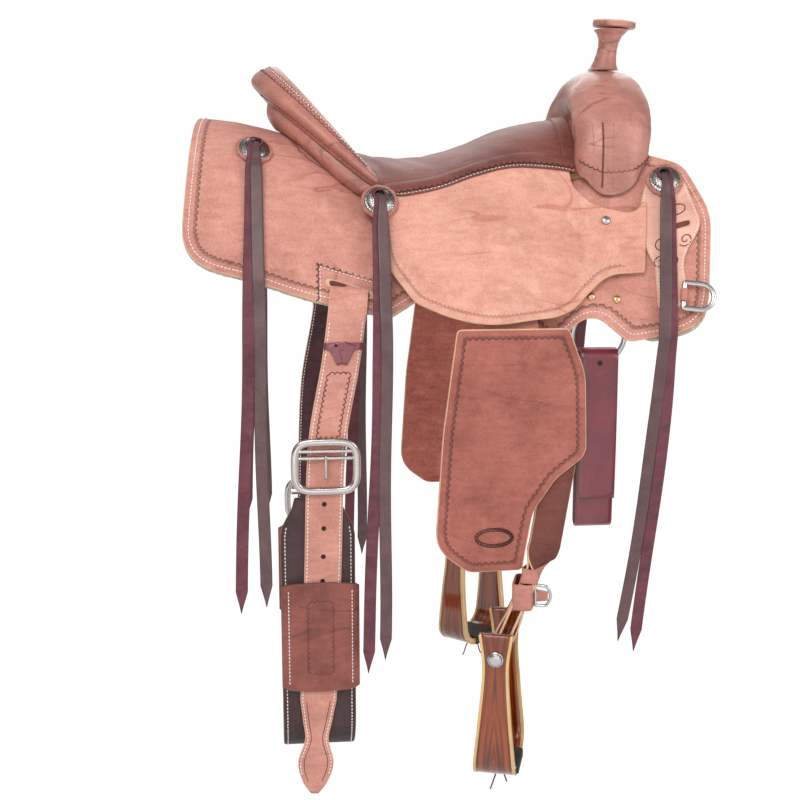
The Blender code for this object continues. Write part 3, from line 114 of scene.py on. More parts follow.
SEAT_FRONT = 0.166
SEAT_LOW_AT = -0.095
seat_line = line_through(((-0.095, 0.123), (-0.060, 0.121), (-0.020, 0.125), (0.030, 0.139), (0.087, 0.163),
                          (0.130, 0.173), (0.166, 0.180)))
edge_width = line_through(((-0.120, 0.140), (-0.095, 0.140), (-0.030, 0.139), (0.050, 0.135), (0.120, 0.125),
                           (0.172, 0.115), (0.240, 0.113)))
edge_height = line_through(((-0.120, 0.080), (-0.095, 0.082), (-0.023, 0.094), (0.030, 0.112), (0.080, 0.123),
                            (0.130, 0.122), (0.172, 0.116), (0.240, 0.100)))
JOCKEY_STEPS = 10
RIM_END = np.array((-0.098, 0.131, 0.091))
RIM_TOP = np.array((-0.238, 0.0, 0.250))


def back_height(x):
    """The ridge's height: lowest at x = 0.03, rising 80 mm on a cosine over 0.4 m each way."""
    return 0.098 + 0.040 * (1 - np.cos(math.pi * np.minimum(np.abs(x - 0.03) / 0.40, 1.0)))


def on_back(x, s, n, sag=1.0):
    """Over the back: x along the horse, s down from the ridge along the leather, n out from its face."""
    x, s, n = np.broadcast_arrays(np.asarray(x, float), np.asarray(s, float), np.asarray(n, float))
    slope = back_slope(s)
    out = np.interp(np.abs(s), SECTION_S, SECTION_Y)
    middle = 1 - smooth((np.abs(x + 0.02) - 0.065) / 0.125)
    drop = np.interp(np.abs(s), SECTION_S, SECTION_Z)
    drop = drop + sag * 0.026 * middle * (1 - smooth((np.abs(s) - 0.10) / 0.15))
    return np.stack([x, -(out + n * np.sin(slope)), back_height(x) - drop + n * np.cos(slope)], axis=-1)


def halved(like, holds):
    """The run down the back up to which holds(run) is true, found by halving; shaped like an array."""
    low, high = np.zeros_like(like), np.full_like(like, FARTHEST)
    for _ in range(HALVINGS):
        mid = (low + high) / 2
        true = holds(mid)
        low, high = np.where(true, mid, low), np.where(true, high, mid)
    return low


def width_at_height(x, z, n):
    """How far out a layer over the unsagged back is at height z."""
    run = halved(z, lambda s: on_back(x, s, n, 0.0)[..., 2] > z)
    return -on_back(x, run, n, 0.0)[..., 1]


def run_at_width(x, width, n):
    """The run down the back at which a layer over it is as far out as width."""
    return halved(width, lambda s: -on_back(x, s, n)[..., 1] < width)


def on_jockey(x, q, n):
    """The jockey's face: it falls from the seat's edge at 50 to 62 degrees and tucks in at its ends."""
    x, q, n = np.broadcast_arrays(np.asarray(x, float), np.asarray(q, float), np.asarray(n, float))
    y = edge_width(x)
    z = edge_height(x) - 0.004 - GAP
    for k in range(JOCKEY_STEPS):
        turn = np.minimum(np.abs(q) * (k + 0.5) / JOCKEY_STEPS / 0.08, 1.0)
        slope = math.radians(50) + math.radians(12) * turn
        y = y + q / JOCKEY_STEPS * np.cos(slope)
        z = z - q / JOCKEY_STEPS * np.sin(slope)
    rear = smooth((-0.055 - x) / 0.115)
    front = smooth((x - 0.170) / 0.055)
    seat = 0.0045 + np.where(front > rear, 0.004, 0.0) + 4 * GAP
    tucked = width_at_height(x, z, seat)
    y = np.maximum(y + (tucked - y) * np.maximum(rear, front), tucked)
    a = math.radians(58)
    return np.stack([x, -y - n * math.sin(a), z + n * math.cos(a)], axis=-1)


def rim(turn, outward=0.0, up=0.0):
    """The cantle's top edge: turn runs from -90 degrees at the off corner over 0 at the top to +90."""
    turn = np.asarray(turn, float)
    share = np.cos(turn)
    point = np.stack([RIM_END[0] + (RIM_TOP[0] - RIM_END[0]) * share, RIM_END[1] * np.sin(turn),
                      RIM_END[2] + (RIM_TOP[2] - RIM_END[2]) * share], axis=-1)
    out = np.stack([-RIM_END[1] * np.cos(turn), (RIM_END[0] - RIM_TOP[0]) * np.sin(turn), 0 * turn], axis=-1)
    out = out / np.linalg.norm(out, axis=-1, keepdims=True)
    lift = np.zeros_like(point)
    lift[..., 2] = up
    return point + out * np.asarray(outward)[..., None] + lift


def seat_top(across, back):
    """The pad's top: across -1 to 1, back 0 at its front edge over 1 at the low to 2 at the rim."""
    across, back = np.broadcast_arrays(np.asarray(across, float), np.asarray(back, float))
    b = np.minimum(back, 1.0)
    x = SEAT_FRONT + (SEAT_LOW_AT - SEAT_FRONT) * b
    middle = seat_line(x)
    start = np.stack([x, edge_width(x) * across, middle - (middle
                                                           - edge_height(x)) * np.abs(across) ** 2.3], -1)
    t = np.clip(back - 1.0, 0.0, 1.0)[..., None]
    share = np.cos(across * math.pi / 2)
    end = rim(across * math.pi / 2, -0.0042 + 0 * across, -0.006)
    pull = start + np.stack([-0.100 * share, start[..., 1] * 0.12 * share, 0.006 * share], -1)
    dish = (1 - t) ** 2 * start + 2 * t * (1 - t) * pull + t * t * end
    return np.where(back[..., None] <= 1.0, start, dish)


def pad_depth(across, back):
    """The pad's thickness: 4 mm at its edge, 13 mm in the middle, 6 mm at the rim."""
    full = 0.013 - 0.007 * smooth(back - 1.0)
    return 0.004 + (full - 0.004) * smooth((1 - np.abs(across)) / 0.16)


# Small numeric helpers


def unit(v):
    """Vectors made one long."""
    return v / np.maximum(np.linalg.norm(v, axis=-1, keepdims=True), 1e-12)


def rounded(corners, steps=10):
    """An outline from corners (x, y, radius), each a quadratic curve between its two tangent points."""
    pts = []
    count = len(corners)
    for i, (x, y, r) in enumerate(corners):
        here = np.array((x, y))
        a = np.array(corners[i - 1][:2]) - here
        b = np.array(corners[(i + 1) % count][:2]) - here
        la, lb = np.linalg.norm(a), np.linalg.norm(b)
        half = math.acos(np.clip(a @ b / la / lb, -1, 1)) / 2
        reach = min(r / math.tan(half), 0.49 * la, 0.49 * lb)
        t = np.linspace(0, 1, steps + 1)[:, None]
        pts.append((1 - t) ** 2 * (here + a / la * reach) + 2 * t * (1 - t) * here
                   + t * t * (here + b / lb * reach))
    return np.concatenate(pts)


def closed(loop):
    """A loop with its first point again at its end."""
    return np.concatenate([loop, loop[:1]])


def around(count):
    """Even turns once around, without the last."""
    return np.linspace(0, 2 * math.pi, count, endpoint=False)


def squared(wave, power):
    """A sine or cosine raised to a power below 1, its sign kept: it makes an oblong of a circle."""
    return np.sign(wave) * np.abs(wave) ** power


def run_lengths(path):
    """The run from a polyline's start to each of its points."""
    return np.concatenate([[0], np.cumsum(np.linalg.norm(np.diff(path, axis=0), axis=1))])


def at_runs(at, runs, values):
    """Rows of values that are given at the runs of a path, read between them."""
    return np.stack([np.interp(at, runs, column) for column in values.T], -1)


def resample(path, count):
    """Points at even lengths along a polyline."""
    path = np.asarray(path, float)
    runs = run_lengths(path)
    return at_runs(np.linspace(0, runs[-1], count), runs, path)


def smooth_path(points, count):
    """A Catmull-Rom curve through points, sampled evenly."""
    p = np.asarray(points, float)
    p = np.concatenate([[2 * p[0] - p[1]], p, [2 * p[-1] - p[-2]]])
    t = np.linspace(0, 1, 12, endpoint=False)[:, None]
    parts = []
    for k in range(1, len(p) - 2):
        a, b, c, d = p[k - 1:k + 3]
        parts.append(0.5 * (2 * b + (c - a) * t + (2 * a - 5 * b + 4 * c - d) * t**2
                            + (3 * b - a - 3 * c + d) * t**3))
    parts.append(p[-2:-1])
    return resample(np.concatenate(parts), count)


WAVES = 6
ROUND = 6.28


def lumps(points, size, seed):
    """Smooth noise between -1 and 1: six sines along fixed directions with seeded phases."""
    rng = np.random.default_rng(seed)
    ways = unit(rng.normal(size=(WAVES, 3)))
    phase = rng.uniform(0, ROUND, WAVES)
    scale = rng.uniform(0.6, 1.7, WAVES) * ROUND / size
    return np.sin((points @ ways.T) * scale + phase).sum(-1) / 3.2


def outline_marks(points, outline):
    """Each point's distance to the outline, the run to the nearest spot of it, and that spot."""
    step = np.roll(outline, -1, axis=0) - outline
    length = np.linalg.norm(step, axis=1)
    runs = np.concatenate([[0], np.cumsum(length)[:-1]])
    best = np.full(len(points), np.inf)
    along = np.zeros(len(points))
    nearest = np.zeros((len(points), 2))
    for k in np.nonzero(length > 1e-9)[0]:
        t = np.clip(((points - outline[k]) @ step[k]) / length[k] ** 2, 0, 1)
        spot = outline[k] + t[:, None] * step[k]
        dist = np.linalg.norm(points - spot, axis=1)
        near = dist < best
        best[near], along[near], nearest[near] = dist[near], (runs[k] + t * length[k])[near], spot[near]
    return best, along, nearest


# Meshes


def make(name, verts, faces, mats, body, nodes=(), slots=None, marks=None):
    """Puts arrays into a mesh object that rides on a body and stands for CAD nodes."""
    mesh = bpy.data.meshes.new(name)
    mesh.from_pydata(np.asarray(verts, float).reshape(-1, 3).tolist(), [], [list(f) for f in faces])
    for mat in mats:
        mesh.materials.append(mat)
    if slots is not None:
        mesh.polygons.foreach_set("material_index", np.asarray(slots, np.int32))
    for key, values in (marks or {}).items():
        layer = mesh.attributes.new(key, "FLOAT", "POINT")
        layer.data.foreach_set("value", np.asarray(values, np.float32).ravel())
    bm = bmesh.new()
    bm.from_mesh(mesh)
    bmesh.ops.recalc_face_normals(bm, faces=bm.faces[:])
    bm.to_mesh(mesh)
    bm.free()
    mesh.shade_smooth()
    obj = bpy.data.objects.new(name, mesh)
    bpy.context.scene.collection.objects.link(obj)
    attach(obj, body)
    if nodes:
        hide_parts(*nodes)
    return obj


def grid_faces(rows, cols, wrap_rows=False, wrap_cols=False, start=0):
    """Quads of a grid of points, joined round where it wraps."""
    r = np.arange(rows if wrap_rows else rows - 1)[:, None]
    c = np.arange(cols if wrap_cols else cols - 1)[None, :]
    r2, c2 = (r + 1) % rows, (c + 1) % cols
    quads = np.stack(np.broadcast_arrays(r * cols + c, r * cols + c2, r2 * cols + c2, r2 * cols + c), -1)
    return (quads.reshape(-1, 4) + start).tolist()


def tube_mesh(rings, joined=False):
    """Vertices and faces of a closed skin over rings, capped with fans unless it joins itself."""
    rings = np.asarray(rings)
    rows, cols = rings.shape[:2]
    verts = rings.reshape(-1, 3)
    faces = grid_faces(rows, cols, joined, True)
    if not joined:
        verts = np.concatenate([verts, [rings[0].mean(0)], [rings[-1].mean(0)]])
        a, b = rows * cols, rows * cols + 1
        k = np.arange(cols)
        k2 = (k + 1) % cols
        faces += np.stack([np.full(cols, a), k2, k], -1).tolist()
        faces += np.stack([np.full(cols, b), k + (rows - 1) * cols, k2 + (rows - 1) * cols], -1).tolist()
    return verts, faces


def skin(name, rings, mats, body, nodes=(), joined=False):
    """A closed skin over rings as a piece."""
    verts, faces = tube_mesh(rings, joined)
    return make(name, verts, faces, mats, body, nodes)


def slice_at(bm, spot, way):
    """Cuts a flat mesh along a line."""
    everything = bm.verts[:] + bm.edges[:] + bm.faces[:]
    bmesh.ops.bisect_plane(bm, geom=everything, plane_co=spot, plane_no=way, dist=1e-6)


def cells(outline, cell):
    """The face inside an outline, cut along the lines of one fixed square grid: points, faces, rim points."""
    bm = bmesh.new()
    verts = [bm.verts.new((x, y, 0.0)) for x, y in outline]
    edges = [bm.edges.new((verts[k - 1], verts[k])) for k in range(len(verts))]
    bmesh.ops.triangle_fill(bm, use_beauty=False, use_dissolve=False, edges=edges)
    bmesh.ops.dissolve_limit(bm, angle_limit=0.001, verts=[], edges=bm.edges[:])
    for axis in (0, 1):
        way = Vector((1.0 - axis, float(axis), 0.0))
        low, high = outline[:, axis].min(), outline[:, axis].max()
        for k in range(math.ceil(low / cell), math.ceil(high / cell)):
            slice_at(bm, way * (k * cell), way)
    bm.verts.index_update()
    rim_points = np.array([v.index for v in bm.verts if v.is_boundary])
    mesh = bpy.data.meshes.new("cells")
    bm.to_mesh(mesh)
    bm.free()
    points = np.empty(len(mesh.vertices) * 3)
    mesh.vertices.foreach_get("co", points)
    faces = [tuple(face.vertices) for face in mesh.polygons]
    bpy.data.meshes.remove(mesh)
    return points.reshape(-1, 3)[:, :2], faces, rim_points


def inward(outline, inset):
    """The outline moved in by an even distance, along normals taken from its neighbouring points."""
    tangent = unit(np.roll(outline, -1, 0) - np.roll(outline, 1, 0))
    normal = np.stack([-tangent[:, 1], tangent[:, 0]], -1)
    area = np.sum(outline[:, 0] * np.roll(outline[:, 1], -1) - outline[:, 1] * np.roll(outline[:, 0], -1))
    return outline + normal * inset * np.sign(area), normal * np.sign(area)


def even_outline(corners, step=0.0025):
    """An outline of rounded corners, its points at about even steps."""
    loop = closed(rounded(corners))
    length = np.linalg.norm(np.diff(loop, axis=0), axis=1).sum()
    return resample(loop, int(length / step))[:-1]


RIM = 0.0012
CUT_EDGE = ((0.0007, 0.07), (0.0013, 0.26), (0.0015, 0.5), (0.0013, 0.74), (0.0007, 0.93))
UNSTAMPED = 0.03


def panel(name, corners, place, thick, mats, body, nodes, side, wrinkle=None, cell=0.004, stamped=None):
    """Leather of an even thickness: its outline cut into cells and laid by place(x, s, n).

    The cut edge is rounded: rings at a distance out and a share of the thickness down. wrinkle(x, s, edge)
    lifts the face, and stamped(x, s) picks the parts of the outline that have a stamped border.
    """
    outline = even_outline(corners)
    inner, _ = inward(outline, RIM)
    points, tiles, rim_ids = cells(inner, cell)
    edge, along, nearest = outline_marks(points, outline)
    run = outline_marks(points[rim_ids], inner)[1]
    rim_ids = rim_ids[np.argsort(run)]
    loop = points[rim_ids]
    _, normal = inward(loop, 0.0)
    lift = np.zeros(len(points)) if wrinkle is None else wrinkle(points[:, 0], points[:, 1], edge)
    if stamped is not None:
        edge = np.where(stamped(nearest[:, 0], nearest[:, 1]), edge, np.maximum(edge, UNSTAMPED))
    top = place(points[:, 0], points[:, 1], lift)
    low = place(points[:, 0], points[:, 1], np.full(len(points), -thick))
    layers = [top, low]
    for out, down in CUT_EDGE:
        spot = loop - normal * out
        layers.append(place(spot[:, 0], spot[:, 1], np.full(len(loop), -thick * down)))
    verts = np.concatenate(layers)
    verts[:, 1] *= -side
    count, ring = len(points), len(loop)
    faces = list(tiles) + [tuple(i + count for i in tile[::-1]) for tile in tiles]
    slots = [0] * len(tiles) + [min(2, len(mats) - 1)] * len(tiles)
    edges = len(CUT_EDGE)
    rows = [rim_ids] + [2 * count + ring * k + np.arange(ring) for k in range(edges)] + [rim_ids + count]
    for a, b in zip(rows, rows[1:]):
        faces += np.stack([a, np.roll(a, -1), np.roll(b, -1), b], -1).tolist()
        slots += [min(1, len(mats) - 1)] * ring
    marks = {"edge": np.concatenate([edge, edge, np.zeros(edges * ring)]),
             "along": np.concatenate([along, along, np.tile(along[rim_ids], edges)])}
    return make(name, verts, faces, mats, body, nodes, slots, marks)


def strap_rings(path, ways, widths, thick):
    """Cross-sections of a flat strap: each is a rectangle with half-round sides, square to the path."""
    path = np.asarray(path, float)
    ways = np.broadcast_to(np.asarray(ways, float), path.shape)
    along = unit(np.gradient(path, axis=0))
    ways = unit(ways - along * (ways * along).sum(-1, keepdims=True))
    out = np.cross(along, ways)
    half_t = thick / 2
    arc = np.linspace(-math.pi / 2, math.pi / 2, 5)
    flat_a = np.linspace(-1, 1, 9)[1:-1]
    widths = np.broadcast_to(np.asarray(widths, float), (len(path),))[:, None]
    half_w = widths / 2 - half_t * 0.7
    x = np.concatenate([half_w + half_t * 0.7 * np.cos(arc), half_w * flat_a[::-1],
                        -half_w - half_t * 0.7 * np.cos(arc), half_w * flat_a], axis=1)
    y = np.concatenate([half_t * np.sin(arc), np.full(7, half_t), half_t * np.sin(arc[::-1]),
                        np.full(7, -half_t)])
    y = np.broadcast_to(y, x.shape)
    return path[:, None] + ways[:, None] * x[..., None] + out[:, None] * y[..., None], x


def strap(name, path, ways, widths, thick, mats, body, nodes=(), lining=()):
    """A flat strap as a piece; lining picks the faces of its section that take the second material."""
    rings, x = strap_rings(path, ways, widths, thick)
    verts, faces = tube_mesh(rings)
    runs = run_lengths(path)
    widths = np.broadcast_to(np.asarray(widths, float), (len(path),))[:, None]
    edge = np.broadcast_to(widths / 2 - np.abs(x), x.shape).ravel()
    along = np.broadcast_to(runs[:, None], x.shape).ravel()
    marks = {"edge": np.concatenate([edge, [0.01, 0.01]]), "along": np.concatenate([along, [0.0, runs[-1]]])}
    slots = np.zeros(len(faces), int)
    turn = np.arange((len(path) - 1) * x.shape[1]) % x.shape[1]
    slots[:len(turn)] = np.isin(turn, lining)
    return make(name, verts, faces, mats, body, nodes, slots, marks)


def band(name, loop, ways, width, thick, mats, body, nodes=()):
    """A strap that runs round a loop and joins itself."""
    rings, _ = strap_rings(closed(loop), ways, width, thick)
    return skin(name, rings[:-1], mats, body, nodes, joined=True)


FIRST_FACE = tuple(range(4, 12))
SECOND_FACE = tuple(range(16, 24))


def wire(name, path, normal, radius, mats, body, nodes=(), joined=True, count=12, wide=1.0):
    """A round wire along a path with the given normal, made wide times as broad across that normal."""
    path = np.asarray(path, float)
    if joined:
        along = unit(np.roll(path, -1, 0) - np.roll(path, 1, 0))
    else:
        along = unit(np.gradient(path, axis=0))
    up = unit(np.asarray(normal, float))
    side = unit(np.cross(along, up))
    up = np.cross(side, along)
    a = around(count)
    ring = side[:, None] * wide * np.cos(a)[None, :, None] + up[:, None] * np.sin(a)[None, :, None]
    return skin(name, path[:, None] + ring * radius, mats, body, nodes, joined)


def turned(profile, spot, axis, ahead, count=48, scallop=None):
    """A profile (radius, height) turned about an axis; scallop(angle, radius) may wave the radius."""
    axis, ahead = unit(np.asarray(axis, float)), unit(np.asarray(ahead, float))
    across = np.cross(axis, ahead)
    profile = np.asarray(profile, float)
    a = around(count)
    r = profile[:, 0][:, None] * (1 + (0 if scallop is None else scallop(a[None, :], profile[:, 0][:, None])))
    h = np.broadcast_to(profile[:, 1][:, None], r.shape)
    return (spot + ahead * (r * np.cos(a))[..., None] + across * (r * np.sin(a))[..., None]
            + axis * h[..., None])


BEAD = ((-0.5, 0.25), (-0.32, 1.0), (0.32, 1.0), (0.5, 0.25))


def stitches(name, path, outs, body, mat, spacing=0.0050, length=0.0038, radius=0.00080):
    """Thread along a path: one small six-sided bead, pointed at both ends, copied to each stitch."""
    runs = run_lengths(path)
    count = max(int(runs[-1] / spacing), 2)
    at = np.linspace(0, runs[-1], count, endpoint=False) + spacing / 2
    spot = at_runs(at, runs, path)
    out = unit(at_runs(at, runs, np.broadcast_to(outs, path.shape)))
    ahead = unit(at_runs(at + 1e-4, runs, path) - at_runs(at - 1e-4, runs, path))
    beside = np.cross(ahead, out)
    a = around(6)
    ring = beside[:, None] * np.cos(a)[None, :, None] + out[:, None] * (np.sin(a) + 0.3)[None, :, None]
    rings = [spot[:, None] + ahead[:, None] * share * length + ring * radius * size for share, size in BEAD]
    bead = grid_faces(4, 6, False, True) + [[5, 4, 3, 2, 1, 0], [18, 19, 20, 21, 22, 23]]
    faces = [[i + 24 * k for i in face] for k in range(count) for face in bead]
    return make(name, np.stack(rings, 1), faces, [mat], body)


def scallops(name, path, outs, body, mat, spacing=0.0085, depth=0.0038, radius=0.0010):
    """Half-moon stamps in a row: a thin line, set partly into the leather, that waves as the root of the sine
    along a path; its dark material is painted shade in the impression.
    """
    runs = run_lengths(path)
    count = max(int(round(runs[-1] / spacing)), 1)
    at = np.linspace(0, runs[-1], count * 10 + 1)
    spot = at_runs(at, runs, path)
    out = unit(at_runs(at, runs, np.broadcast_to(outs, path.shape)))
    beside = unit(np.cross(out, np.gradient(spot, axis=0)))
    wave = np.sqrt(np.abs(np.sin(np.linspace(0, math.pi * count, len(at)))))
    line = spot + beside * (depth * wave)[:, None] - out * radius * 0.45
    return wire(name, line, out, radius, [mat], body, joined=False, count=6)


# Finishes


def srgb(red, green, blue):
    """A colour written in 0 to 255 as the eye sees it, in linear light."""
    values = np.array((red, green, blue)) / 255
    linear = np.where(values <= 0.04045, values / 12.92, ((values + 0.055) / 1.055) ** 2.4)
    return (*[float(v) for v in linear], 1.0)


def fill(made, inputs):
    """Links the sockets and sets the values that a node's inputs are given."""
    for key, value in inputs.items():
        if isinstance(value, bpy.types.NodeSocket):
            made.id_data.links.new(value, made.inputs[key])
        else:
            made.inputs[key].default_value = value


def node(tree, kind, inputs=None, **settings):
    """Adds a shader node, sets its properties, and fills its inputs."""
    made = tree.nodes.new(kind)
    for key, value in settings.items():
        setattr(made, key, value)
    fill(made, inputs or {})
    return made


def math_node(tree, operation, a, b=0.0, clamp=False):
    """A sum on sockets or numbers."""
    return node(tree, "ShaderNodeMath", {0: a, 1: b}, operation=operation, use_clamp=clamp).outputs[0]


def times(tree, a, b, clamp=False):
    """a times b."""
    return math_node(tree, "MULTIPLY", a, b, clamp)


def plus(tree, a, b):
    """a plus b."""
    return math_node(tree, "ADD", a, b)


def minus(tree, a, b, clamp=False):
    """a less b."""
    return math_node(tree, "SUBTRACT", a, b, clamp)


def mix_colour(tree, factor, a, b, blend="MIX"):
    """From colour a at factor 0 to colour b at 1."""
    made = node(tree, "ShaderNodeMix", {}, data_type="RGBA", blend_type=blend)
    fill(made, {0: factor, 6: a, 7: b})
    return made.outputs[2]


def object_spot(tree):
    """The place on the object."""
    return node(tree, "ShaderNodeTexCoord").outputs["Object"]


def noise(tree, spot, scale, detail, **more):
    """A noise texture's value at a place."""
    return node(tree, "ShaderNodeTexNoise", {"Vector": spot, "Scale": scale, "Detail": detail,
                                             **more}).outputs[0]


def relief(tree, shader, height, strength, distance):
    """Bump by a height, linked to a shader's normal."""
    lift = node(tree, "ShaderNodeBump", {"Height": height, "Strength": strength, "Distance": distance})
    fill(shader, {"Normal": lift.outputs[0]})


def faded(colour, share):
    """A colour with its three channels multiplied, none above 1."""
    return (*(min(1.0, share * v) for v in colour[:3]), 1.0)


def ramp(tree, value, low, high):
    """0 at low, 1 at high, smooth between."""
    made = node(tree, "ShaderNodeMapRange", {0: value, 1: low, 2: high}, interpolation_type="SMOOTHSTEP")
    return made.outputs[0]


def group(name, inputs, outputs):
    """An empty shader group with named sockets."""
    tree = bpy.data.node_groups.new(name, "ShaderNodeTree")
    for label, kind, value in inputs:
        socket = tree.interface.new_socket(label, in_out="INPUT", socket_type=kind)
        socket.default_value = value
    for label, kind in outputs:
        tree.interface.new_socket(label, in_out="OUTPUT", socket_type=kind)
    return tree, tree.nodes.new("NodeGroupInput"), tree.nodes.new("NodeGroupOutput")


def grain_group():
    """Leather: broad mottling between two colours, pores of a stretched cell pattern, fine fibres, and
    creases that are dented and painted darker as shade.
    """
    tree, given, out = group("Leather grain", [
        ("Colour", "NodeSocketColor", (0.5, 0.3, 0.2, 1)), ("Shade", "NodeSocketColor", (0.3, 0.2, 0.1, 1)),
        ("Blotch scale", "NodeSocketFloat", 12.0), ("Pore scale", "NodeSocketFloat", 900.0),
        ("Nap", "NodeSocketFloat", 0.5), ("Crease", "NodeSocketFloat", 0.3)], [
        ("Colour", "NodeSocketColor"), ("Height", "NodeSocketFloat"), ("Rough", "NodeSocketFloat")])
    spot = object_spot(tree)
    blotch = node(tree, "ShaderNodeTexNoise", {"Vector": spot, "Scale": given.outputs["Blotch scale"],
                                               "Detail": 5.0, "Roughness": 0.62}).outputs[0]
    fine = noise(tree, spot, 420.0, 4.0, Roughness=0.7)
    streak = node(tree, "ShaderNodeMapping", {"Vector": spot, "Scale": (0.25, 1.0, 1.0)})
    fibre = noise(tree, streak.outputs[0], 140.0, 3.0)
    pore = node(tree, "ShaderNodeTexVoronoi", {"Vector": spot,
                                               "Scale": given.outputs["Pore scale"]}).outputs[0]
    share = times(tree, ramp(tree, blotch, 0.34, 0.72), 0.75)
    drawn = node(tree, "ShaderNodeMapping", {"Vector": spot, "Scale": (0.35, 1.0, 1.3)})
    fold = noise(tree, drawn.outputs[0], 13.0, 2.0, Distortion=0.8)
    ridge = math_node(tree, "ABSOLUTE", minus(tree, fold, 0.5))
    crease = times(tree, minus(tree, 1.0, ramp(tree, ridge, 0.0, 0.03)), given.outputs["Crease"])
    patchy = noise(tree, spot, 9.0, 1.0)
    crease = times(tree, crease, ramp(tree, patchy, 0.42, 0.62))
    colour = mix_colour(tree, share, given.outputs["Colour"], given.outputs["Shade"])
    speck = ramp(tree, plus(tree, fine, times(tree, fibre, 0.5)), 0.55, 1.0)
    speck = times(tree, speck, given.outputs["Nap"])
    colour = mix_colour(tree, times(tree, speck, 0.55), colour, given.outputs["Shade"], "MULTIPLY")
    # Painted shade: the colour is darkened along the creases, where shade falls in the folds.
    colour = mix_colour(tree, times(tree, crease, 0.5), colour, given.outputs["Shade"], "MULTIPLY")
    height = plus(tree, times(tree, fine, given.outputs["Nap"]), times(tree, pore, 0.35))
    height = minus(tree, height, crease)
    tree.links.new(colour, out.inputs["Colour"])
    tree.links.new(height, out.inputs["Height"])
    tree.links.new(plus(tree, times(tree, blotch, 0.3), 0.85), out.inputs["Rough"])
    return tree


def stamp_group():
    """A border of half-moon stamps as a mask: a line that waves with the run along the edge, and the inside
    of each moon at half strength; the leather sinks under it and is painted darker there as the shade of the
    impressions.
    """
    tree, given, out = group("Stamped border", [
        ("Edge", "NodeSocketFloat", 0.0), ("Along", "NodeSocketFloat", 0.0),
        ("Inset", "NodeSocketFloat", 0.010),
        ("Spacing", "NodeSocketFloat", 0.0088), ("Depth", "NodeSocketFloat", 0.0034),
        ("Width", "NodeSocketFloat", 0.0013)], [("Mask", "NodeSocketFloat")])
    turn = times(tree, math_node(tree, "DIVIDE", given.outputs["Along"], given.outputs["Spacing"]), math.pi)
    arch = math_node(tree, "POWER", math_node(tree, "ABSOLUTE", math_node(tree, "SINE", turn)), 0.5)
    level = plus(tree, given.outputs["Inset"], times(tree, arch, given.outputs["Depth"]))
    gap = math_node(tree, "ABSOLUTE", minus(tree, given.outputs["Edge"], level))
    line = minus(tree, 1.5, times(tree, 1.5, math_node(
        tree, "DIVIDE", gap, given.outputs["Width"])), clamp=True)
    inside = times(tree, math_node(tree, "GREATER_THAN", given.outputs["Edge"], given.outputs["Inset"]),
                   math_node(tree, "LESS_THAN", given.outputs["Edge"], level))
    mask = math_node(tree, "MAXIMUM", line, times(tree, inside, 0.5))
    tree.links.new(mask, out.inputs["Mask"])
    return tree


def wear_group():
    """Scuffs: pale rubbed spots where a coarse noise is high, stronger towards a high mask."""
    tree, given, out = group("Wear", [("Mask", "NodeSocketFloat", 0.5), ("Scale", "NodeSocketFloat", 30.0)],
                             [("Amount", "NodeSocketFloat")])
    spot = object_spot(tree)
    coarse = node(tree, "ShaderNodeTexNoise", {"Vector": spot, "Scale": given.outputs["Scale"],
                                               "Detail": 6.0, "Roughness": 0.7}).outputs[0]
    amount = ramp(tree, plus(tree, coarse, times(tree, given.outputs["Mask"], 0.25)),
                  0.62, 0.85)
    tree.links.new(amount, out.inputs["Amount"])
    return tree


MAKERS = {"grain": grain_group, "stamp": stamp_group, "wear": wear_group}
GROUPS = {}


def shader_group(name):
    """A shared shader group, made when it is first asked for."""
    if name not in GROUPS:
        GROUPS[name] = MAKERS[name]()
    return GROUPS[name]


def attribute(tree, name):
    """A mark of the mesh, read in a material."""
    return node(tree, "ShaderNodeAttribute", attribute_name=name).outputs["Fac"]


def blank(name):
    """A new material with its Principled shader and tree, made once by name."""
    mat = bpy.data.materials.new(name)
    mat.use_nodes = True
    return mat, mat.node_tree, mat.node_tree.nodes["Principled BSDF"]


def leather(name, colour, shade, rough=0.75, nap=0.6, blotch=12.0, pores=900.0, bump=0.25, stamp=None,
            pale_edge=None, sheen=0.0, coat=0.0, crease=0.4):
    """Leather: grain with fat wrinkles painted darker in their creases as shade, an optional stamped border
    sunk and painted dark as the shade of its impressions, and a paler or darker cut edge.
    """
    mat, tree, shader = blank(name)
    grain = node(tree, "ShaderNodeGroup", node_tree=shader_group("grain"))
    fill(grain, {"Colour": colour, "Shade": shade, "Blotch scale": blotch, "Pore scale": pores, "Nap": nap,
                 "Crease": crease})
    tone, height = grain.outputs["Colour"], grain.outputs["Height"]
    wear = node(tree, "ShaderNodeGroup", node_tree=shader_group("wear"))
    fill(wear, {"Scale": 26.0})
    light = faded(colour, 1.28)
    tone = mix_colour(tree, times(tree, wear.outputs["Amount"], 0.45), tone, light)
    if stamp or pale_edge:
        edge, along = attribute(tree, "edge"), attribute(tree, "along")
    for inset, spacing, depth, width, dark in (stamp or ()):
        border = node(tree, "ShaderNodeGroup", node_tree=shader_group("stamp"))
        fill(border, {"Edge": edge, "Along": along, "Inset": inset, "Spacing": spacing, "Depth": depth,
                      "Width": width})
        mask = border.outputs["Mask"]
        # Painted shade: the stamped impressions are darkened toward a deep tone of the shade colour, by the
        # share dark.
        tone = mix_colour(tree, times(tree, mask, dark), tone,
                          faded(shade, 0.18))
        height = minus(tree, height, times(tree, mask, 1.6))
    if pale_edge:
        tone = mix_colour(tree, minus(tree, 1.0, ramp(tree, edge, 0.0003, 0.0014)), tone, pale_edge)
    tree.links.new(tone, shader.inputs["Base Color"])
    roughness = times(tree, grain.outputs["Rough"], rough, clamp=True)
    tree.links.new(roughness, shader.inputs["Roughness"])
    relief(tree, shader, height, bump, 0.0009)
    fill(shader, {"Sheen Weight": sheen, "Coat Weight": coat, "Coat Roughness": 0.28})
    return mat


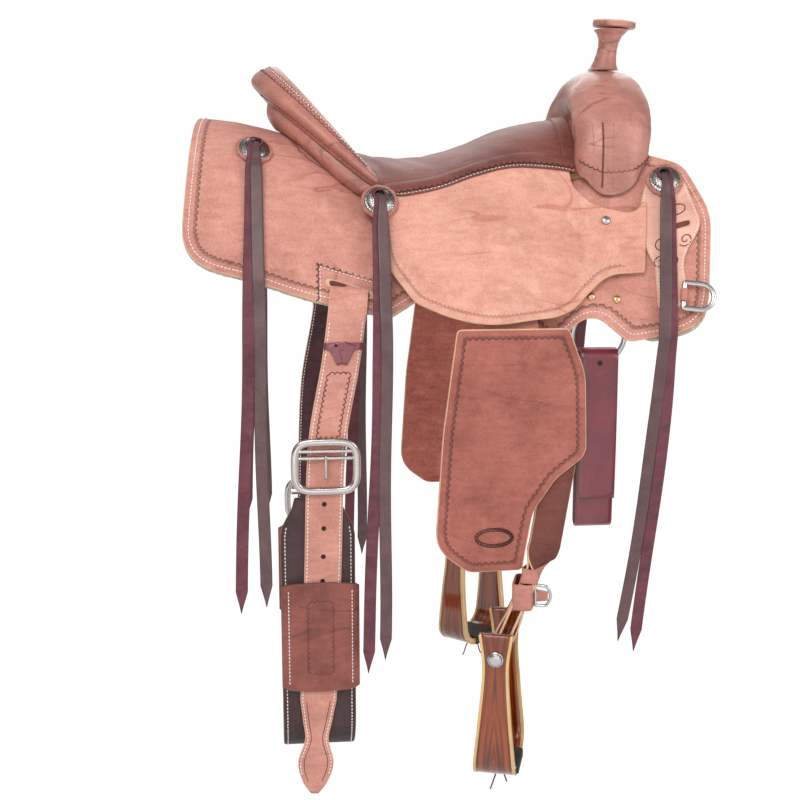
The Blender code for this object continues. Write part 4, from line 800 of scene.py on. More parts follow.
def metal(name, colour, rough, engraved=0.0):
    """Silver or steel: faint smudges, and fine curled engraving where asked."""
    mat, tree, shader = blank(name)
    spot = object_spot(tree)
    smudge = noise(tree, spot, 60.0, 4.0)
    fine = noise(tree, spot, 900.0, 2.0)
    tone = mix_colour(tree, times(tree, smudge, 0.35), colour,
                      faded(colour, 0.62))
    height = times(tree, fine, 0.15)
    if engraved:
        bend = node(tree, "ShaderNodeTexNoise", {"Vector": spot, "Scale": 160.0, "Detail": 1.0}).outputs[1]
        curl = node(tree, "ShaderNodeVectorMath", {0: spot, 1: (0, 0, 0)}, operation="ADD")
        swirl = node(tree, "ShaderNodeVectorMath", {0: bend, 3: 0.004}, operation="SCALE")
        tree.links.new(swirl.outputs[0], curl.inputs[1])
        leaf = node(tree, "ShaderNodeTexVoronoi", {"Vector": curl.outputs[0], "Scale": 290.0},
                    feature="DISTANCE_TO_EDGE").outputs[0]
        cut = minus(tree, 1.0, ramp(tree, leaf, 0.03, 0.16))
        tone = mix_colour(tree, times(tree, cut, engraved), tone, (0.05, 0.045, 0.04, 1.0))
        height = minus(tree, height, cut)
    tree.links.new(tone, shader.inputs["Base Color"])
    tree.links.new(plus(tree, times(tree, smudge, 0.14), rough - 0.06),
                   shader.inputs["Roughness"])
    relief(tree, shader, height, 0.35, 0.0003)
    shader.inputs["Metallic"].default_value = 1.0
    return mat


def wood(name, dark, pale, gloss):
    """Bent laminated wood: long grain lines along the strip's run, broad darker patches, and a clear coat."""
    mat, tree, shader = blank(name)
    run, edge = attribute(tree, "along"), attribute(tree, "edge")
    spot = object_spot(tree)
    place = node(tree, "ShaderNodeCombineXYZ", {0: times(tree, run, 5.0),
                                                1: times(tree, edge, 130.0), 2: 0.0})
    lines = noise(tree, place.outputs[0], 1.3, 6.0, Roughness=0.6, Distortion=0.4)
    broad = noise(tree, spot, 22.0, 3.0)
    tone = mix_colour(tree, ramp(tree, lines, 0.38, 0.62), pale, dark)
    tone = mix_colour(tree, times(tree, broad, 0.5), tone, dark, "MULTIPLY")
    tree.links.new(tone, shader.inputs["Base Color"])
    tree.links.new(plus(tree, times(tree, lines, 0.2), gloss),
                   shader.inputs["Roughness"])
    relief(tree, shader, lines, 0.08, 0.0004)
    fill(shader, {"Coat Weight": 0.6, "Coat Roughness": 0.06})
    return mat


def solid_wood(name, dark, pale):
    """Planed wood of the hidden tree, its grain running along the horse."""
    mat, tree, shader = blank(name)
    spot = object_spot(tree)
    long = node(tree, "ShaderNodeMapping", {"Vector": spot, "Scale": (4.0, 60.0, 60.0)})
    lines = noise(tree, long.outputs[0], 1.6, 6.0)
    tree.links.new(mix_colour(tree, ramp(tree, lines, 0.35, 0.7), pale, dark), shader.inputs["Base Color"])
    relief(tree, shader, lines, 0.3, 0.0006)
    shader.inputs["Roughness"].default_value = 0.65
    return mat


def fleece_mat(name, colour, shade):
    """Shearling: curled tufts from two cell patterns, pale at the tips and painted darker in the hollows
    between them as shade.
    """
    mat, tree, shader = blank(name)
    spot = object_spot(tree)
    warp = node(tree, "ShaderNodeTexNoise", {"Vector": spot, "Scale": 60.0, "Detail": 3.0, "Distortion": 1.5})
    tuft = node(tree, "ShaderNodeTexVoronoi", {"Vector": spot, "Scale": 150.0}).outputs[0]
    hair = noise(tree, spot, 700.0, 5.0, Distortion=1.0)
    height = minus(tree, plus(tree, warp.outputs[0], times(tree, hair, 0.5)), tuft)
    # Painted shade: the colour runs from the shade tone in the low hollows to the pale tone on the tufts.
    tree.links.new(mix_colour(tree, ramp(tree, height, 0.0, 0.75), shade, colour),
                   shader.inputs["Base Color"])
    relief(tree, shader, height, 0.9, 0.004)
    fill(shader, {"Roughness": 0.95, "Sheen Weight": 0.3})
    return mat


def thread_mat(name, colour):
    """Waxed thread: a tight twist along its run."""
    mat, tree, shader = blank(name)
    spot = object_spot(tree)
    twist = node(tree, "ShaderNodeTexWave", {"Vector": spot, "Scale": 900.0, "Distortion": 2.0}).outputs[1]
    tree.links.new(mix_colour(tree, times(tree, twist, 0.4), colour,
                              faded(colour, 0.82)), shader.inputs["Base Color"])
    relief(tree, shader, twist, 0.3, 0.0002)
    shader.inputs["Roughness"].default_value = 0.6
    return mat


def colour_choice(name, description, red, green, blue):
    """A colour property with its default written in 0 to 255."""
    return bpy.props.FloatVectorProperty(name=name, description=description, subtype="COLOR", size=4, min=0,
                                         max=1, default=srgb(red, green, blue))


class SaddleColours(bpy.types.PropertyGroup):
    """The finishes' main colours."""

    jockey: colour_choice("Roughout", "Rough side leather of the jockeys", 242, 181, 161)
    skirt: colour_choice("Skirt", "Leather of skirts and rear straps", 224, 161, 145)
    swell: colour_choice("Swell", "Leather over the swell, horn and cantle", 208, 142, 127)
    fender: colour_choice("Fender", "Mottled leather of the fenders", 184, 110, 96)
    keeper: colour_choice("Keeper", "Pale tooled leather of the front plates", 246, 190, 170)
    seat: colour_choice("Seat", "Soft brown leather of the padded seat", 146, 82, 72)
    lace: colour_choice("Lace", "Dark leather of the saddle strings", 102, 70, 72)
    latigo: colour_choice("Latigo", "Burgundy leather of the front straps", 128, 34, 52)
    cinch: colour_choice("Cinch", "Dark leather of the flank cinch", 78, 54, 56)
    wood: colour_choice("Wood", "Brown wood of the stirrups", 98, 32, 4)
    silver: colour_choice("Silver", "Conchos, dees, rings and buckles", 196, 194, 192)


class SaddleSizes(bpy.types.PropertyGroup):
    """Sizes of the sewing and stamping."""

    stitch: bpy.props.FloatProperty(name="Stitch spacing", description="From one stitch to the next",
                                    default=0.0052, min=0.003, max=0.02, unit="LENGTH")
    stamp: bpy.props.FloatProperty(name="Stamp spacing", description="Width of one half-moon stamp",
                                   default=0.0088, min=0.003, max=0.03, unit="LENGTH")
    border: bpy.props.FloatProperty(name="Border inset",
                                    description="From the cut edge to the stamped border", default=0.0140,
                                    min=0.002, max=0.04, unit="LENGTH")
    pad_swell: bpy.props.FloatProperty(name="Pad swell", description="The most that the seat's padding moves",
                                       default=0.004, min=0.0, max=0.01, unit="LENGTH")


MATS = {}


def shade_of(colour, factor):
    """A darker, slightly redder tone of a colour."""
    return (colour[0] * factor, colour[1] * factor * 0.92, colour[2] * factor * 0.9, 1.0)


def build_finishes():
    """All materials, made once from the chosen colours."""
    c = bpy.context.scene.saddle_colours
    z = bpy.context.scene.saddle_sizes
    cut = srgb(236, 190, 158)
    jockey, skirt, swell, fender, keeper, seat = (tuple(v) for v in (c.jockey, c.skirt, c.swell, c.fender,
                                                                     c.keeper, c.seat))
    lace, latigo, cinch, silver = (tuple(v) for v in (c.lace, c.latigo, c.cinch, c.silver))
    # Each stamp: inset, spacing, depth, line width, and how strongly its impressions are painted dark as
    # shade.
    border = ((z.border, z.stamp, 0.0044, 0.0020, 0.74),)
    narrow = ((z.border - 0.005, z.stamp, 0.0042, 0.0020, 0.74),)
    faint = ((z.border - 0.0065, z.stamp * 0.75, 0.0032, 0.0014, 0.5),)
    MATS.update(
        jockey=leather("roughout", jockey, shade_of(jockey, 0.74), 0.95, 0.8, 14, 700, 0.35, faint, cut,
                       0.12, 0.0, 1.0),
        skirt=leather("skirt_roughout", skirt, shade_of(skirt, 0.72), 0.95, 0.8, 11, 700, 0.35, border, cut,
                      0.12, 0.0, 1.0),
        strap=leather("strap_leather", skirt, shade_of(skirt, 0.7), 0.85, 0.7, 16, 800, 0.3, None, cut),
        plain=leather("plain_leather", shade_of(skirt, 0.86), shade_of(skirt, 0.6), 0.8, 0.6, 30, 800, 0.3),
        patch=leather("keeper_leather", srgb(158, 88, 76), srgb(112, 54, 44), 0.62, 0.6, 14, 800, 0.3, None,
                      shade_of(skirt, 0.28), 0.0, 0.15, 0.8),
        lining=leather("strap_lining", srgb(96, 60, 66), srgb(70, 42, 48), 0.8, 0.6, 20, 800, 0.25),
        flesh=leather("flesh_side", shade_of(skirt, 0.8), shade_of(skirt, 0.6), 0.95, 0.9, 19, 520, 0.4),
        cut=leather("cut_edge", cut, shade_of(cut, 0.75), 0.7, 0.3, 60, 1200, 0.1),
        swell=leather("swell_leather", swell, shade_of(swell, 0.5), 0.5, 0.55, 12, 1000, 0.26, None, None,
                      0.0, 0.4, 1.0),
        roll=leather("roll_leather", shade_of(swell, 0.92), shade_of(swell, 0.5), 0.5, 0.5, 15, 1000, 0.22,
                     None, None, 0.0, 0.25, 0.8),
        leathers=leather("stirrup_leathers", shade_of(fender, 0.45), shade_of(fender, 0.28), 0.8, 0.6, 20,
                         800, 0.3, None, cut),
        fender=leather("fender_leather", fender, shade_of(fender, 0.66), 0.8, 0.65, 17, 700, 0.3, narrow,
                       srgb(232, 176, 146), 0.06),
        keeper=leather("tooled_leather", keeper, shade_of(keeper, 0.72), 0.6, 0.3, 14, 1100, 0.25, None,
                       cut),
        seat=leather("seat_leather", seat, shade_of(seat, 0.66), 0.55, 0.85, 9, 1300, 0.22),
        lace=leather("lace_leather", lace, shade_of(lace, 0.6), 0.5, 0.4, 40, 1000, 0.15, None,
                     shade_of(lace, 0.5), 0.0, 0.25),
        maroon=leather("lace_flesh", srgb(118, 62, 74), srgb(92, 46, 56), 0.7, 0.6, 40, 900, 0.2),
        # Tooled lines, stamps and seams: darker as pressed leather, and painted darker still as the shade in
        # them; the strip inside each cut slot is all painted shade.
        pressed=leather("pressed_line_and_shade", srgb(126, 74, 64), srgb(96, 54, 46), 0.8, 0.4, 40, 900, 0.1),
        far=leather("fender_flesh", faded(fender, 1.5), shade_of(fender, 0.7), 0.95, 0.9, 26, 500, 0.6,
                    None, None, 0.0, 0.0, 1.0),
        latigo=leather("latigo_leather", latigo, shade_of(latigo, 0.45), 0.34, 0.25, 16, 1300, 0.1, None,
                       srgb(146, 66, 72), 0.0, 0.9),
        cinch=leather("cinch_leather", cinch, shade_of(cinch, 0.6), 0.7, 0.6, 18, 900, 0.25, None,
                      srgb(150, 104, 96)),
        rosette=leather("rosette_leather", shade_of(skirt, 0.8), shade_of(skirt, 0.5), 0.8, 0.6, 30, 900,
                        0.25),
        tread=leather("tread_leather", srgb(66, 58, 58), srgb(40, 34, 34), 0.7, 0.7, 30, 900, 0.3, None,
                      None),
        silver=metal("silver", silver, 0.24),
        engraved=metal("engraved_silver", shade_of(silver, 0.8), 0.26, 0.8),
        buckle=metal("buckle_silver", shade_of(silver, 0.92), 0.18),
        brass=metal("pale_brass", srgb(214, 186, 140), 0.3),
        wood=wood("stirrup_wood", tuple(c.wood), srgb(176, 78, 10), 0.1),
        wood_edge=wood("stirrup_wood_edge", srgb(214, 164, 96), srgb(240, 206, 146), 0.15),
        tree=solid_wood("tree_wood", srgb(150, 112, 70), srgb(206, 172, 124)),
        fleece=fleece_mat("fleece", srgb(240, 230, 214), srgb(214, 198, 174)),
        thread=thread_mat("white_thread", srgb(252, 248, 242)),
        dark=leather("shadow_leather", srgb(52, 34, 30), srgb(36, 24, 22), 0.9, 0.5, 30, 900, 0.2),
    )


# Pieces that the operators make


SKIRT = ((-0.346, 0.001, 0.012), (-0.371, 0.312, 0.062), (-0.210, 0.328, 0.30), (-0.092, 0.318, 0.030),
         (-0.046, 0.278, 0.030), (0.060, 0.278, 0.030), (0.120, 0.362, 0.022), (0.178, 0.318, 0.036),
         (0.226, 0.380, 0.030), (0.334, 0.396, 0.062), (0.352, 0.235, 0.10), (0.322, 0.150, 0.060),
         (0.272, 0.108, 0.020), (0.200, 0.098, 0.020), (-0.190, 0.098, 0.020), (-0.230, 0.001, 0.012))
FLEECE_ARCH = ((0.120, 0.362, 0.022), (0.160, 0.292, 0.020), (0.224, 0.292, 0.020), (0.252, 0.388, 0.022))
JOCKEY = ((-0.110, 0.0, 0.003), (-0.098, 0.110, 0.10), (-0.062, 0.170, 0.05), (0.045, 0.243, 0.16),
          (0.145, 0.232, 0.08), (0.203, 0.158, 0.07), (0.252, 0.141, 0.006), (0.264, 0.022, 0.010),
          (0.246, 0.057, 0.030), (0.190, 0.060, 0.036), (0.166, 0.034, 0.030), (0.165, 0.0, 0.003))
KEEPER = ((0.294, 0.150, 0.028), (0.264, 0.172, 0.020), (0.246, 0.226, 0.030), (0.268, 0.290, 0.050),
          (0.268, 0.348, 0.010), (0.283, 0.360, 0.006), (0.310, 0.350, 0.010), (0.306, 0.290, 0.050),
          (0.337, 0.248, 0.030), (0.318, 0.175, 0.040))
FENDER = ((-0.008, -0.099, 0.008), (-0.026, -0.240, 0.40), (-0.036, -0.400, 0.10), (0.010, -0.434, 0.030),
          (0.084, -0.432, 0.008), (0.098, -0.350, 0.06), (0.128, -0.305, 0.05), (0.170, -0.272, 0.030),
          (0.166, -0.160, 0.10), (0.142, -0.099, 0.008))


def inset_path(corners, inset, start, end, place, lift, side):
    """A path at an even distance inside an outline, between two points of it, and its outward ways."""
    outline = even_outline(corners, 0.0015)
    inner, _ = inward(outline, inset)
    a = int(np.argmin(np.linalg.norm(outline - np.array(start), axis=1)))
    b = int(np.argmin(np.linalg.norm(outline - np.array(end), axis=1)))
    picked = inner[a:b + 1] if a <= b else np.concatenate([inner[a:], inner[:b + 1]])
    on = place(picked[:, 0], picked[:, 1], np.full(len(picked), lift))
    over = place(picked[:, 0], picked[:, 1], np.full(len(picked), lift + 0.001))
    ways = unit(over - on)
    on[:, 1] *= -side
    ways[:, 1] *= -side
    return on, ways


def skirt_waves(x, s, edge):
    """A faint wave of the skirts' face that dies away at the edge."""
    return 0.0006 * lumps(np.stack([x, s, 0 * x], -1), 0.09, 3) * smooth(edge / 0.03)


class SADDLE_OT_skirts(bpy.types.Operator):
    """The two skirts over the horse's back with their stamped borders and white edge stitching"""

    bl_idname = "saddle.skirts"
    bl_label = "Skirts"

    def execute(self, context):
        pitch = context.scene.saddle_sizes.stitch
        for label, side in SIDES:
            panel(f"skirt_leather_{label}", SKIRT, on_back, 0.005,
                  [MATS["skirt"], MATS["cut"], MATS["flesh"]], "saddle", [f"skirt_{label}"], side,
                  skirt_waves)
            path, ways = inset_path(SKIRT, 0.0080, (-0.346, 0.001), (0.322, 0.150), on_back, 0.0002, side)
            stitches(f"skirt_stitching_{label}", path, ways, "saddle", MATS["thread"], pitch)
        return {"FINISHED"}


class SADDLE_OT_fleece(bpy.types.Operator):
    """The woolly lining under each skirt"""

    bl_idname = "saddle.fleece"
    bl_label = "Fleece lining"

    def execute(self, context):
        corners = []
        for corner in SKIRT:
            if corner == SKIRT[6]:
                corners.extend(FLEECE_ARCH)
            elif corner not in (SKIRT[7], SKIRT[8]):
                corners.append(corner)

        def woolly(x, s, n):
            under = np.clip(-n / 0.010, 0, 1)
            flat = np.stack([x, s, 0 * x], -1)
            tuft = lumps(flat, 0.011, 11) + 0.6 * lumps(flat, 0.005, 12)
            return on_back(x, s, -0.0057 + n * 0.86 + under * 0.0014 * tuft)

        for label, side in SIDES:
            panel(f"fleece_{label}", tuple(corners), woolly, 0.010, [MATS["fleece"]], "saddle",
                  [f"fleece_lining_{label}"], side, None, 0.0034)
        return {"FINISHED"}


def jockey_creases(x, q, edge):
    """Soft wrinkles: noise, and a few creases that fan out below the swell."""
    flat = np.stack([x, q * 0.6, 0 * x], -1)
    ripple = np.sin((q - 0.9 * (x - 0.20)) * 150)
    fan = ripple * np.exp(-(((x - 0.185) / 0.028) ** 2)) * smooth((q - 0.05) / 0.05)
    inner = smooth(edge / 0.018)
    return (0.0011 * lumps(flat, 0.10, 5) + 0.0004 * lumps(flat, 0.035, 6) + 0.0006 * fan) * inner


class SADDLE_OT_jockeys(bpy.types.Operator):
    """The side jockeys below the seat, with stamped borders and one screw each"""

    bl_idname = "saddle.jockeys"
    bl_label = "Seat jockeys"

    def execute(self, context):
        for label, side in SIDES:
            panel(f"jockey_{label}", JOCKEY, on_jockey, 0.0045, [MATS["jockey"], MATS["cut"], MATS["flesh"]],
                  "saddle", [f"seat_jockey_{label}"], side, jockey_creases,
                  stamped=lambda x, q: (q > 0.148) | ((x < -0.06) & (q > 0.03)))
            spot, out = surface_spot(on_jockey, 0.206, 0.078, 0.0002, side)
            rings = turned([(0.0062, -0.0004), (0.0062, 0.0008), (0.0048, 0.0020), (0.002, 0.0026),
                            (0.0004, 0.0027)], spot, out, (1, 0, 0), 24)
            skin(f"jockey_screw_{label}", rings, [MATS["silver"]], "saddle")
        return {"FINISHED"}


def surface_axes(place, x, s, n=0.0):
    """A point on a laid surface, the way along the horse there, and the way out of the leather."""
    here = place(x, s, n)
    ahead = unit(place(x + 0.002, s, n) - here)
    out = unit(np.cross(ahead, place(x, s + 0.002, n) - here))
    return here, ahead, -out if out[2] < 0 else out


def surface_spot(place, x, s, n, side):
    """A point on a laid surface and its outward way, on one side."""
    here, _, out = surface_axes(place, x, s, n)
    flip = np.array((1.0, -side, 1.0))
    return here * flip, out * flip


class SADDLE_OT_seat(bpy.types.Operator):
    """The padded seat, filled by a short cloth simulation"""

    bl_idname = "saddle.seat"
    bl_label = "Padded seat"

    def execute(self, context):
        rows, cols = 74, 58
        a = np.sin(np.linspace(-math.pi / 2, math.pi / 2, cols)) * 0.999
        a = 0.35 * a + 0.65 * np.linspace(-1, 1, cols)
        b = np.linspace(0.0, 2.0, rows)
        A, B = np.meshgrid(a, b)
        top = seat_top(A, B)
        du = np.gradient(top, axis=1)
        dv = np.gradient(top, axis=0)
        normal = unit(np.cross(du, dv))
        normal *= np.sign(normal[..., 2:3] + 1e-9)
        edge = np.minimum(np.minimum(1 - np.abs(A), B * 0.8), (2 - B) * 0.8)
        tuck = 0.0018 * (1 - smooth(edge / 0.10))
        soft = 0.0007 * lumps(top, 0.12, 21) + 0.0003 * lumps(top, 0.045, 22)
        upper = top - normal * (tuck + 0.0012)[..., None] + normal * (soft * smooth(edge / 0.2))[..., None]
        lower = top - normal * (pad_depth(A, B) - 0.0004)[..., None]
        verts = np.concatenate([upper.reshape(-1, 3), lower.reshape(-1, 3)])
        count = rows * cols
        faces = grid_faces(rows, cols) + grid_faces(rows, cols, start=count)
        ring = np.concatenate([np.arange(cols), np.arange(1, rows) * cols + cols - 1,
                               (rows - 1) * cols + np.arange(cols - 2, -1, -1),
                               np.arange(rows - 2, 0, -1) * cols])
        k, k2 = ring, np.roll(ring, -1)
        faces += np.stack([k, k2, k2 + count, k + count], -1).tolist()
        marks = {"edge": np.concatenate([edge.ravel() * 0.13] * 2), "along": np.tile(B.ravel() * 0.2, 2)}
        pad = make("padded_seat", verts, faces, [MATS["seat"]], "saddle", ["seat_pad"], None, marks)
        fill_pad(pad, count, edge.ravel(), context.scene.saddle_sizes.pad_swell)
        soften = pad.modifiers.new("soften", "SUBSURF")
        soften.levels = soften.render_levels = 1
        for label, side in SIDES:
            self.collar(label, side, context.scene.saddle_sizes.stitch)
        self.front()
        return {"FINISHED"}

    def collar(self, label, side, pitch):
        """The seat leather's edge, lapped over the jockey: a nine-point section carried to the rear."""
        b = np.linspace(-0.045, 1.0, 110)
        x = SEAT_FRONT + (SEAT_LOW_AT - SEAT_FRONT) * b

        def on_top(a, sink):
            spot = seat_top(-a + 0 * b, b)
            return spot - (0, -sink * 0.5, sink)

        lap = 0.0125 * (0.35 + 0.65 * smooth((1.0 - b) / 0.1))
        section = [on_top(0.84, 0.0034), on_top(0.93, 0.0012), on_top(0.985, 0.0006),
                   on_jockey(x, 0.0025, 0.0036), on_jockey(x, lap * 0.7, 0.0028), on_jockey(x, lap, 0.0022),
                   on_jockey(x, lap, 0.0004), on_jockey(x, 0.0030, 0.0006), on_top(0.93, 0.0040)]
        rings = np.stack(section, 1)
        rings[..., 1] *= -side
        skin(f"seat_edge_{label}", rings, [MATS["seat"]], "saddle", ["seat_pad"])
        line = on_jockey(x, lap * 0.75, 0.0029) * (1.0, -side, 1.0)
        out = np.broadcast_to((0.0, side * 0.8, 0.6), line.shape)
        stitches(f"seat_stitching_{label}", line[2:-6], out[2:-6], "saddle", MATS["thread"], pitch, 0.0032,
                 0.0005)
        upper = on_jockey(x, 0.0035, 0.0037) * (1.0, -side, 1.0)
        scallops(f"seat_stamps_{label}", upper[2:-6][::int(-side)], out[2:-6], "saddle", MATS["dark"],
                 0.0085, 0.0034, 0.0008)

    def front(self):
        """A tongue of seat leather from the pad's front edge to the swell."""
        a, b = np.meshgrid(np.linspace(-1, 1, 60), np.linspace(-0.05, 0.03, 10))
        top = seat_top(a, b) - np.array((0, 0, 0.0012))
        low = top - np.array((0, 0, 0.0026))
        rings = np.concatenate([top, low[:, ::-1]], axis=1)
        skin("seat_front", rings, [MATS["seat"]], "saddle", ["seat_pad"])


def fill_pad(pad, count, edge, most):
    """Inflates the pad's top as cloth held at its edge and sole, and caps how far a point may move."""
    mesh = pad.data
    start = np.zeros(len(mesh.vertices) * 3)
    mesh.vertices.foreach_get("co", start)
    hold = pad.vertex_groups.new(name="held")
    weights = np.concatenate([1 - smooth(edge / 0.09), np.ones(count)])
    for level in (0.25, 0.5, 0.75, 1.0):
        picked = np.nonzero(weights >= level - 0.125)[0].tolist()
        hold.add(picked, level, "REPLACE")
    cloth = pad.modifiers.new("fill", "CLOTH")
    cloth.settings.quality = 5
    cloth.settings.mass = 0.3
    cloth.settings.tension_stiffness = 14
    cloth.settings.compression_stiffness = 14
    cloth.settings.bending_stiffness = 1.2
    cloth.settings.use_pressure = True
    cloth.settings.uniform_pressure_force = 3.0
    cloth.settings.effector_weights.gravity = 0.0
    cloth.settings.vertex_group_mass = "held"
    cloth.point_cache.frame_start = 1
    cloth.point_cache.frame_end = 12
    scene = bpy.context.scene
    for step in range(1, 13):
        scene.frame_set(step)
    seen = pad.evaluated_get(bpy.context.evaluated_depsgraph_get())
    moved = np.zeros_like(start)
    seen.data.vertices.foreach_get("co", moved)
    pad.modifiers.remove(cloth)
    shift = (moved - start).reshape(-1, 3)
    length = np.linalg.norm(shift, axis=1, keepdims=True)
    shift *= np.minimum(1.0, most / np.maximum(length, 1e-9))
    mesh.vertices.foreach_set("co", (start.reshape(-1, 3) + shift).ravel())
    mesh.update()
    scene.frame_set(1)


ROLL_SECTION = ((0.0, 0.0), (0.012, -0.001), (0.028, -0.008), (0.036, -0.018), (0.034, -0.028),
                (0.024, -0.039), (0.0135, -0.050), (0.0125, -0.030), (0.0125, -0.016), (0.0030, -0.0085))


def roll_share(turn):
    """The roll's size along the rim: 0.15 + 0.85 times the root of the turn's cosine."""
    return 0.15 + 0.85 * np.sqrt(np.cos(turn))


class SADDLE_OT_cantle(bpy.types.Operator):
    """The cantle's rolled rim with its stitching, and the leather of its back"""

    bl_idname = "saddle.cantle"
    bl_label = "Cantle"

    def execute(self, context):
        turns = np.radians(np.linspace(-88, 88, 121))
        ring = smooth_path(closed(np.array(ROLL_SECTION)), 41)[:-1]
        sizes = roll_share(turns)[:, None]
        rings = rim(np.repeat(turns[:, None], len(ring), 1), ring[:, 0] * sizes, ring[:, 1] * sizes)
        skin("cantle_roll_leather", rings, [MATS["roll"]], "saddle", ["cantle_roll"])
        t = np.radians(np.linspace(-82, 82, 260))
        scale = roll_share(t)
        middle = rim(t, 0.0150 * scale, -0.024 * scale)

        def row(k):
            """A line along the roll at one place of its section, with the surface's own outward ways."""
            path = rim(t, ring[k, 0] * scale, ring[k, 1] * scale)
            beside = rim(t, ring[k + 1, 0] * scale, ring[k + 1, 1] * scale) - rim(
                t, ring[k - 1, 0] * scale, ring[k - 1, 1] * scale)
            out = unit(np.cross(np.gradient(path, axis=0), beside))
            return path, out * np.sign(((path - middle) * out).sum(-1, keepdims=True))

        path, out = row(4)
        stitches("roll_stitching", path + out * 0.0002, out, "saddle", MATS["thread"],
                 context.scene.saddle_sizes.stitch)
        for key, k in (("upper", 6), ("crown", 3), ("lower", 20)):
            path, out = row(k)
            flip = -1 if key == "lower" else 1
            scallops(f"roll_stamps_{key}", path[::flip], out[::flip], "saddle", MATS["pressed"], 0.0082,
                     0.0034, 0.0010)
        self.back()
        return {"FINISHED"}

    def back(self):
        """The back leather: a sheet blended from under the roll to its foot on the skirt."""
        turns = np.radians(np.linspace(-86, 86, 101))
        share = roll_share(turns)
        top = rim(turns, 0.0135 * share, -0.050 * share - GAP)
        width = 0.125 * np.abs(np.sin(turns))
        x = -0.118 + (-0.241 + 0.118) * np.cos(turns)
        foot = on_back(x, run_at_width(0.0, width, 3 * GAP), 3 * GAP)
        foot[:, 1] = np.abs(foot[:, 1]) * np.sign(turns)
        ahead = unit(rim(turns) - rim(turns, 1.0 + 0 * turns))[:, None]
        v = np.linspace(0, 1, 24)[None, :, None]
        outer = top[:, None] * (1 - v) + foot[:, None] * v - ahead * np.sin(math.pi * v) * 0.006
        inner = outer + ahead * 0.004 * (0.8 + 0.2 * v)
        inner[:, -1, 2] = np.maximum(inner[:, -1, 2], foot[:, 2])
        rings = np.concatenate([outer, inner[:, ::-1]], axis=1)
        skin("cantle_back_leather", rings, [MATS["swell"]], "saddle", ["cantle_back"])


INNER_ARCH = (0.087, 0.142, 0.038, math.radians(80))
OUTER_ARCH = (0.143, 0.110, 0.132, math.radians(97))
HEM = 0.018


def fork_surface(grow, rows, cols):
    """The swell: rounded oblong rings between two arches (half span, base, rise, reach).

    Towards the ends the rings turn into feet that lie on the bars.
    """
    share = np.linspace(-1, 1, rows)[:, None]
    a = around(cols)[None, :]
    ends = []
    for half_span, base, rise, reach in (INNER_ARCH, OUTER_ARCH):
        turn = reach * share
        ends.append(np.stack(np.broadcast_arrays(0.237 - 0.011 * np.abs(share), half_span * np.sin(turn),
                                                 base + rise * np.cos(turn)), -1))
    centre = (ends[0] + ends[1]) / 2
    half = (ends[1] - ends[0]) / 2
    half = half + unit(half) * grow
    length = 0.051 * (1 - 0.08 * smooth((np.abs(share) - 0.55) / 0.45)) + grow
    c, s = np.cos(a), np.sin(a)
    rings = centre + half * s[..., None]
    rings = rings + np.stack([squared(c, 0.9) * length, 0 * length * c, 0 * length * c], -1)
    foot = rings[[0, -1]].copy()
    inner_w = INNER_ARCH[0] * math.sin(INNER_ARCH[3]) - grow
    outer_w = OUTER_ARCH[0] * math.sin(OUTER_ARCH[3]) + grow
    width = np.abs(foot[..., 1])
    reach = (width - inner_w) / (outer_w - inner_w)
    x = foot[..., 0]
    height = 2 * 0.0016 + 0.014 * (1 - 0.6 * ((x - 0.03) / 0.24) ** 2)
    run = run_at_width(x, width, height)
    z = on_back(x, run, height)[..., 2] - HEM * smooth((reach - 0.80) / 0.2)
    wide = np.maximum(width, width_at_height(x, z, 0.0016 + grow + 0.0003))
    foot[..., 1] = wide * np.sign(foot[..., 1])
    foot[..., 2] = z
    blend = smooth((np.abs(share) - 0.86) / 0.14)[..., None]
    target = np.where(share[..., None] < 0, foot[0][None], foot[1][None])
    return rings * (1 - blend) + target * blend


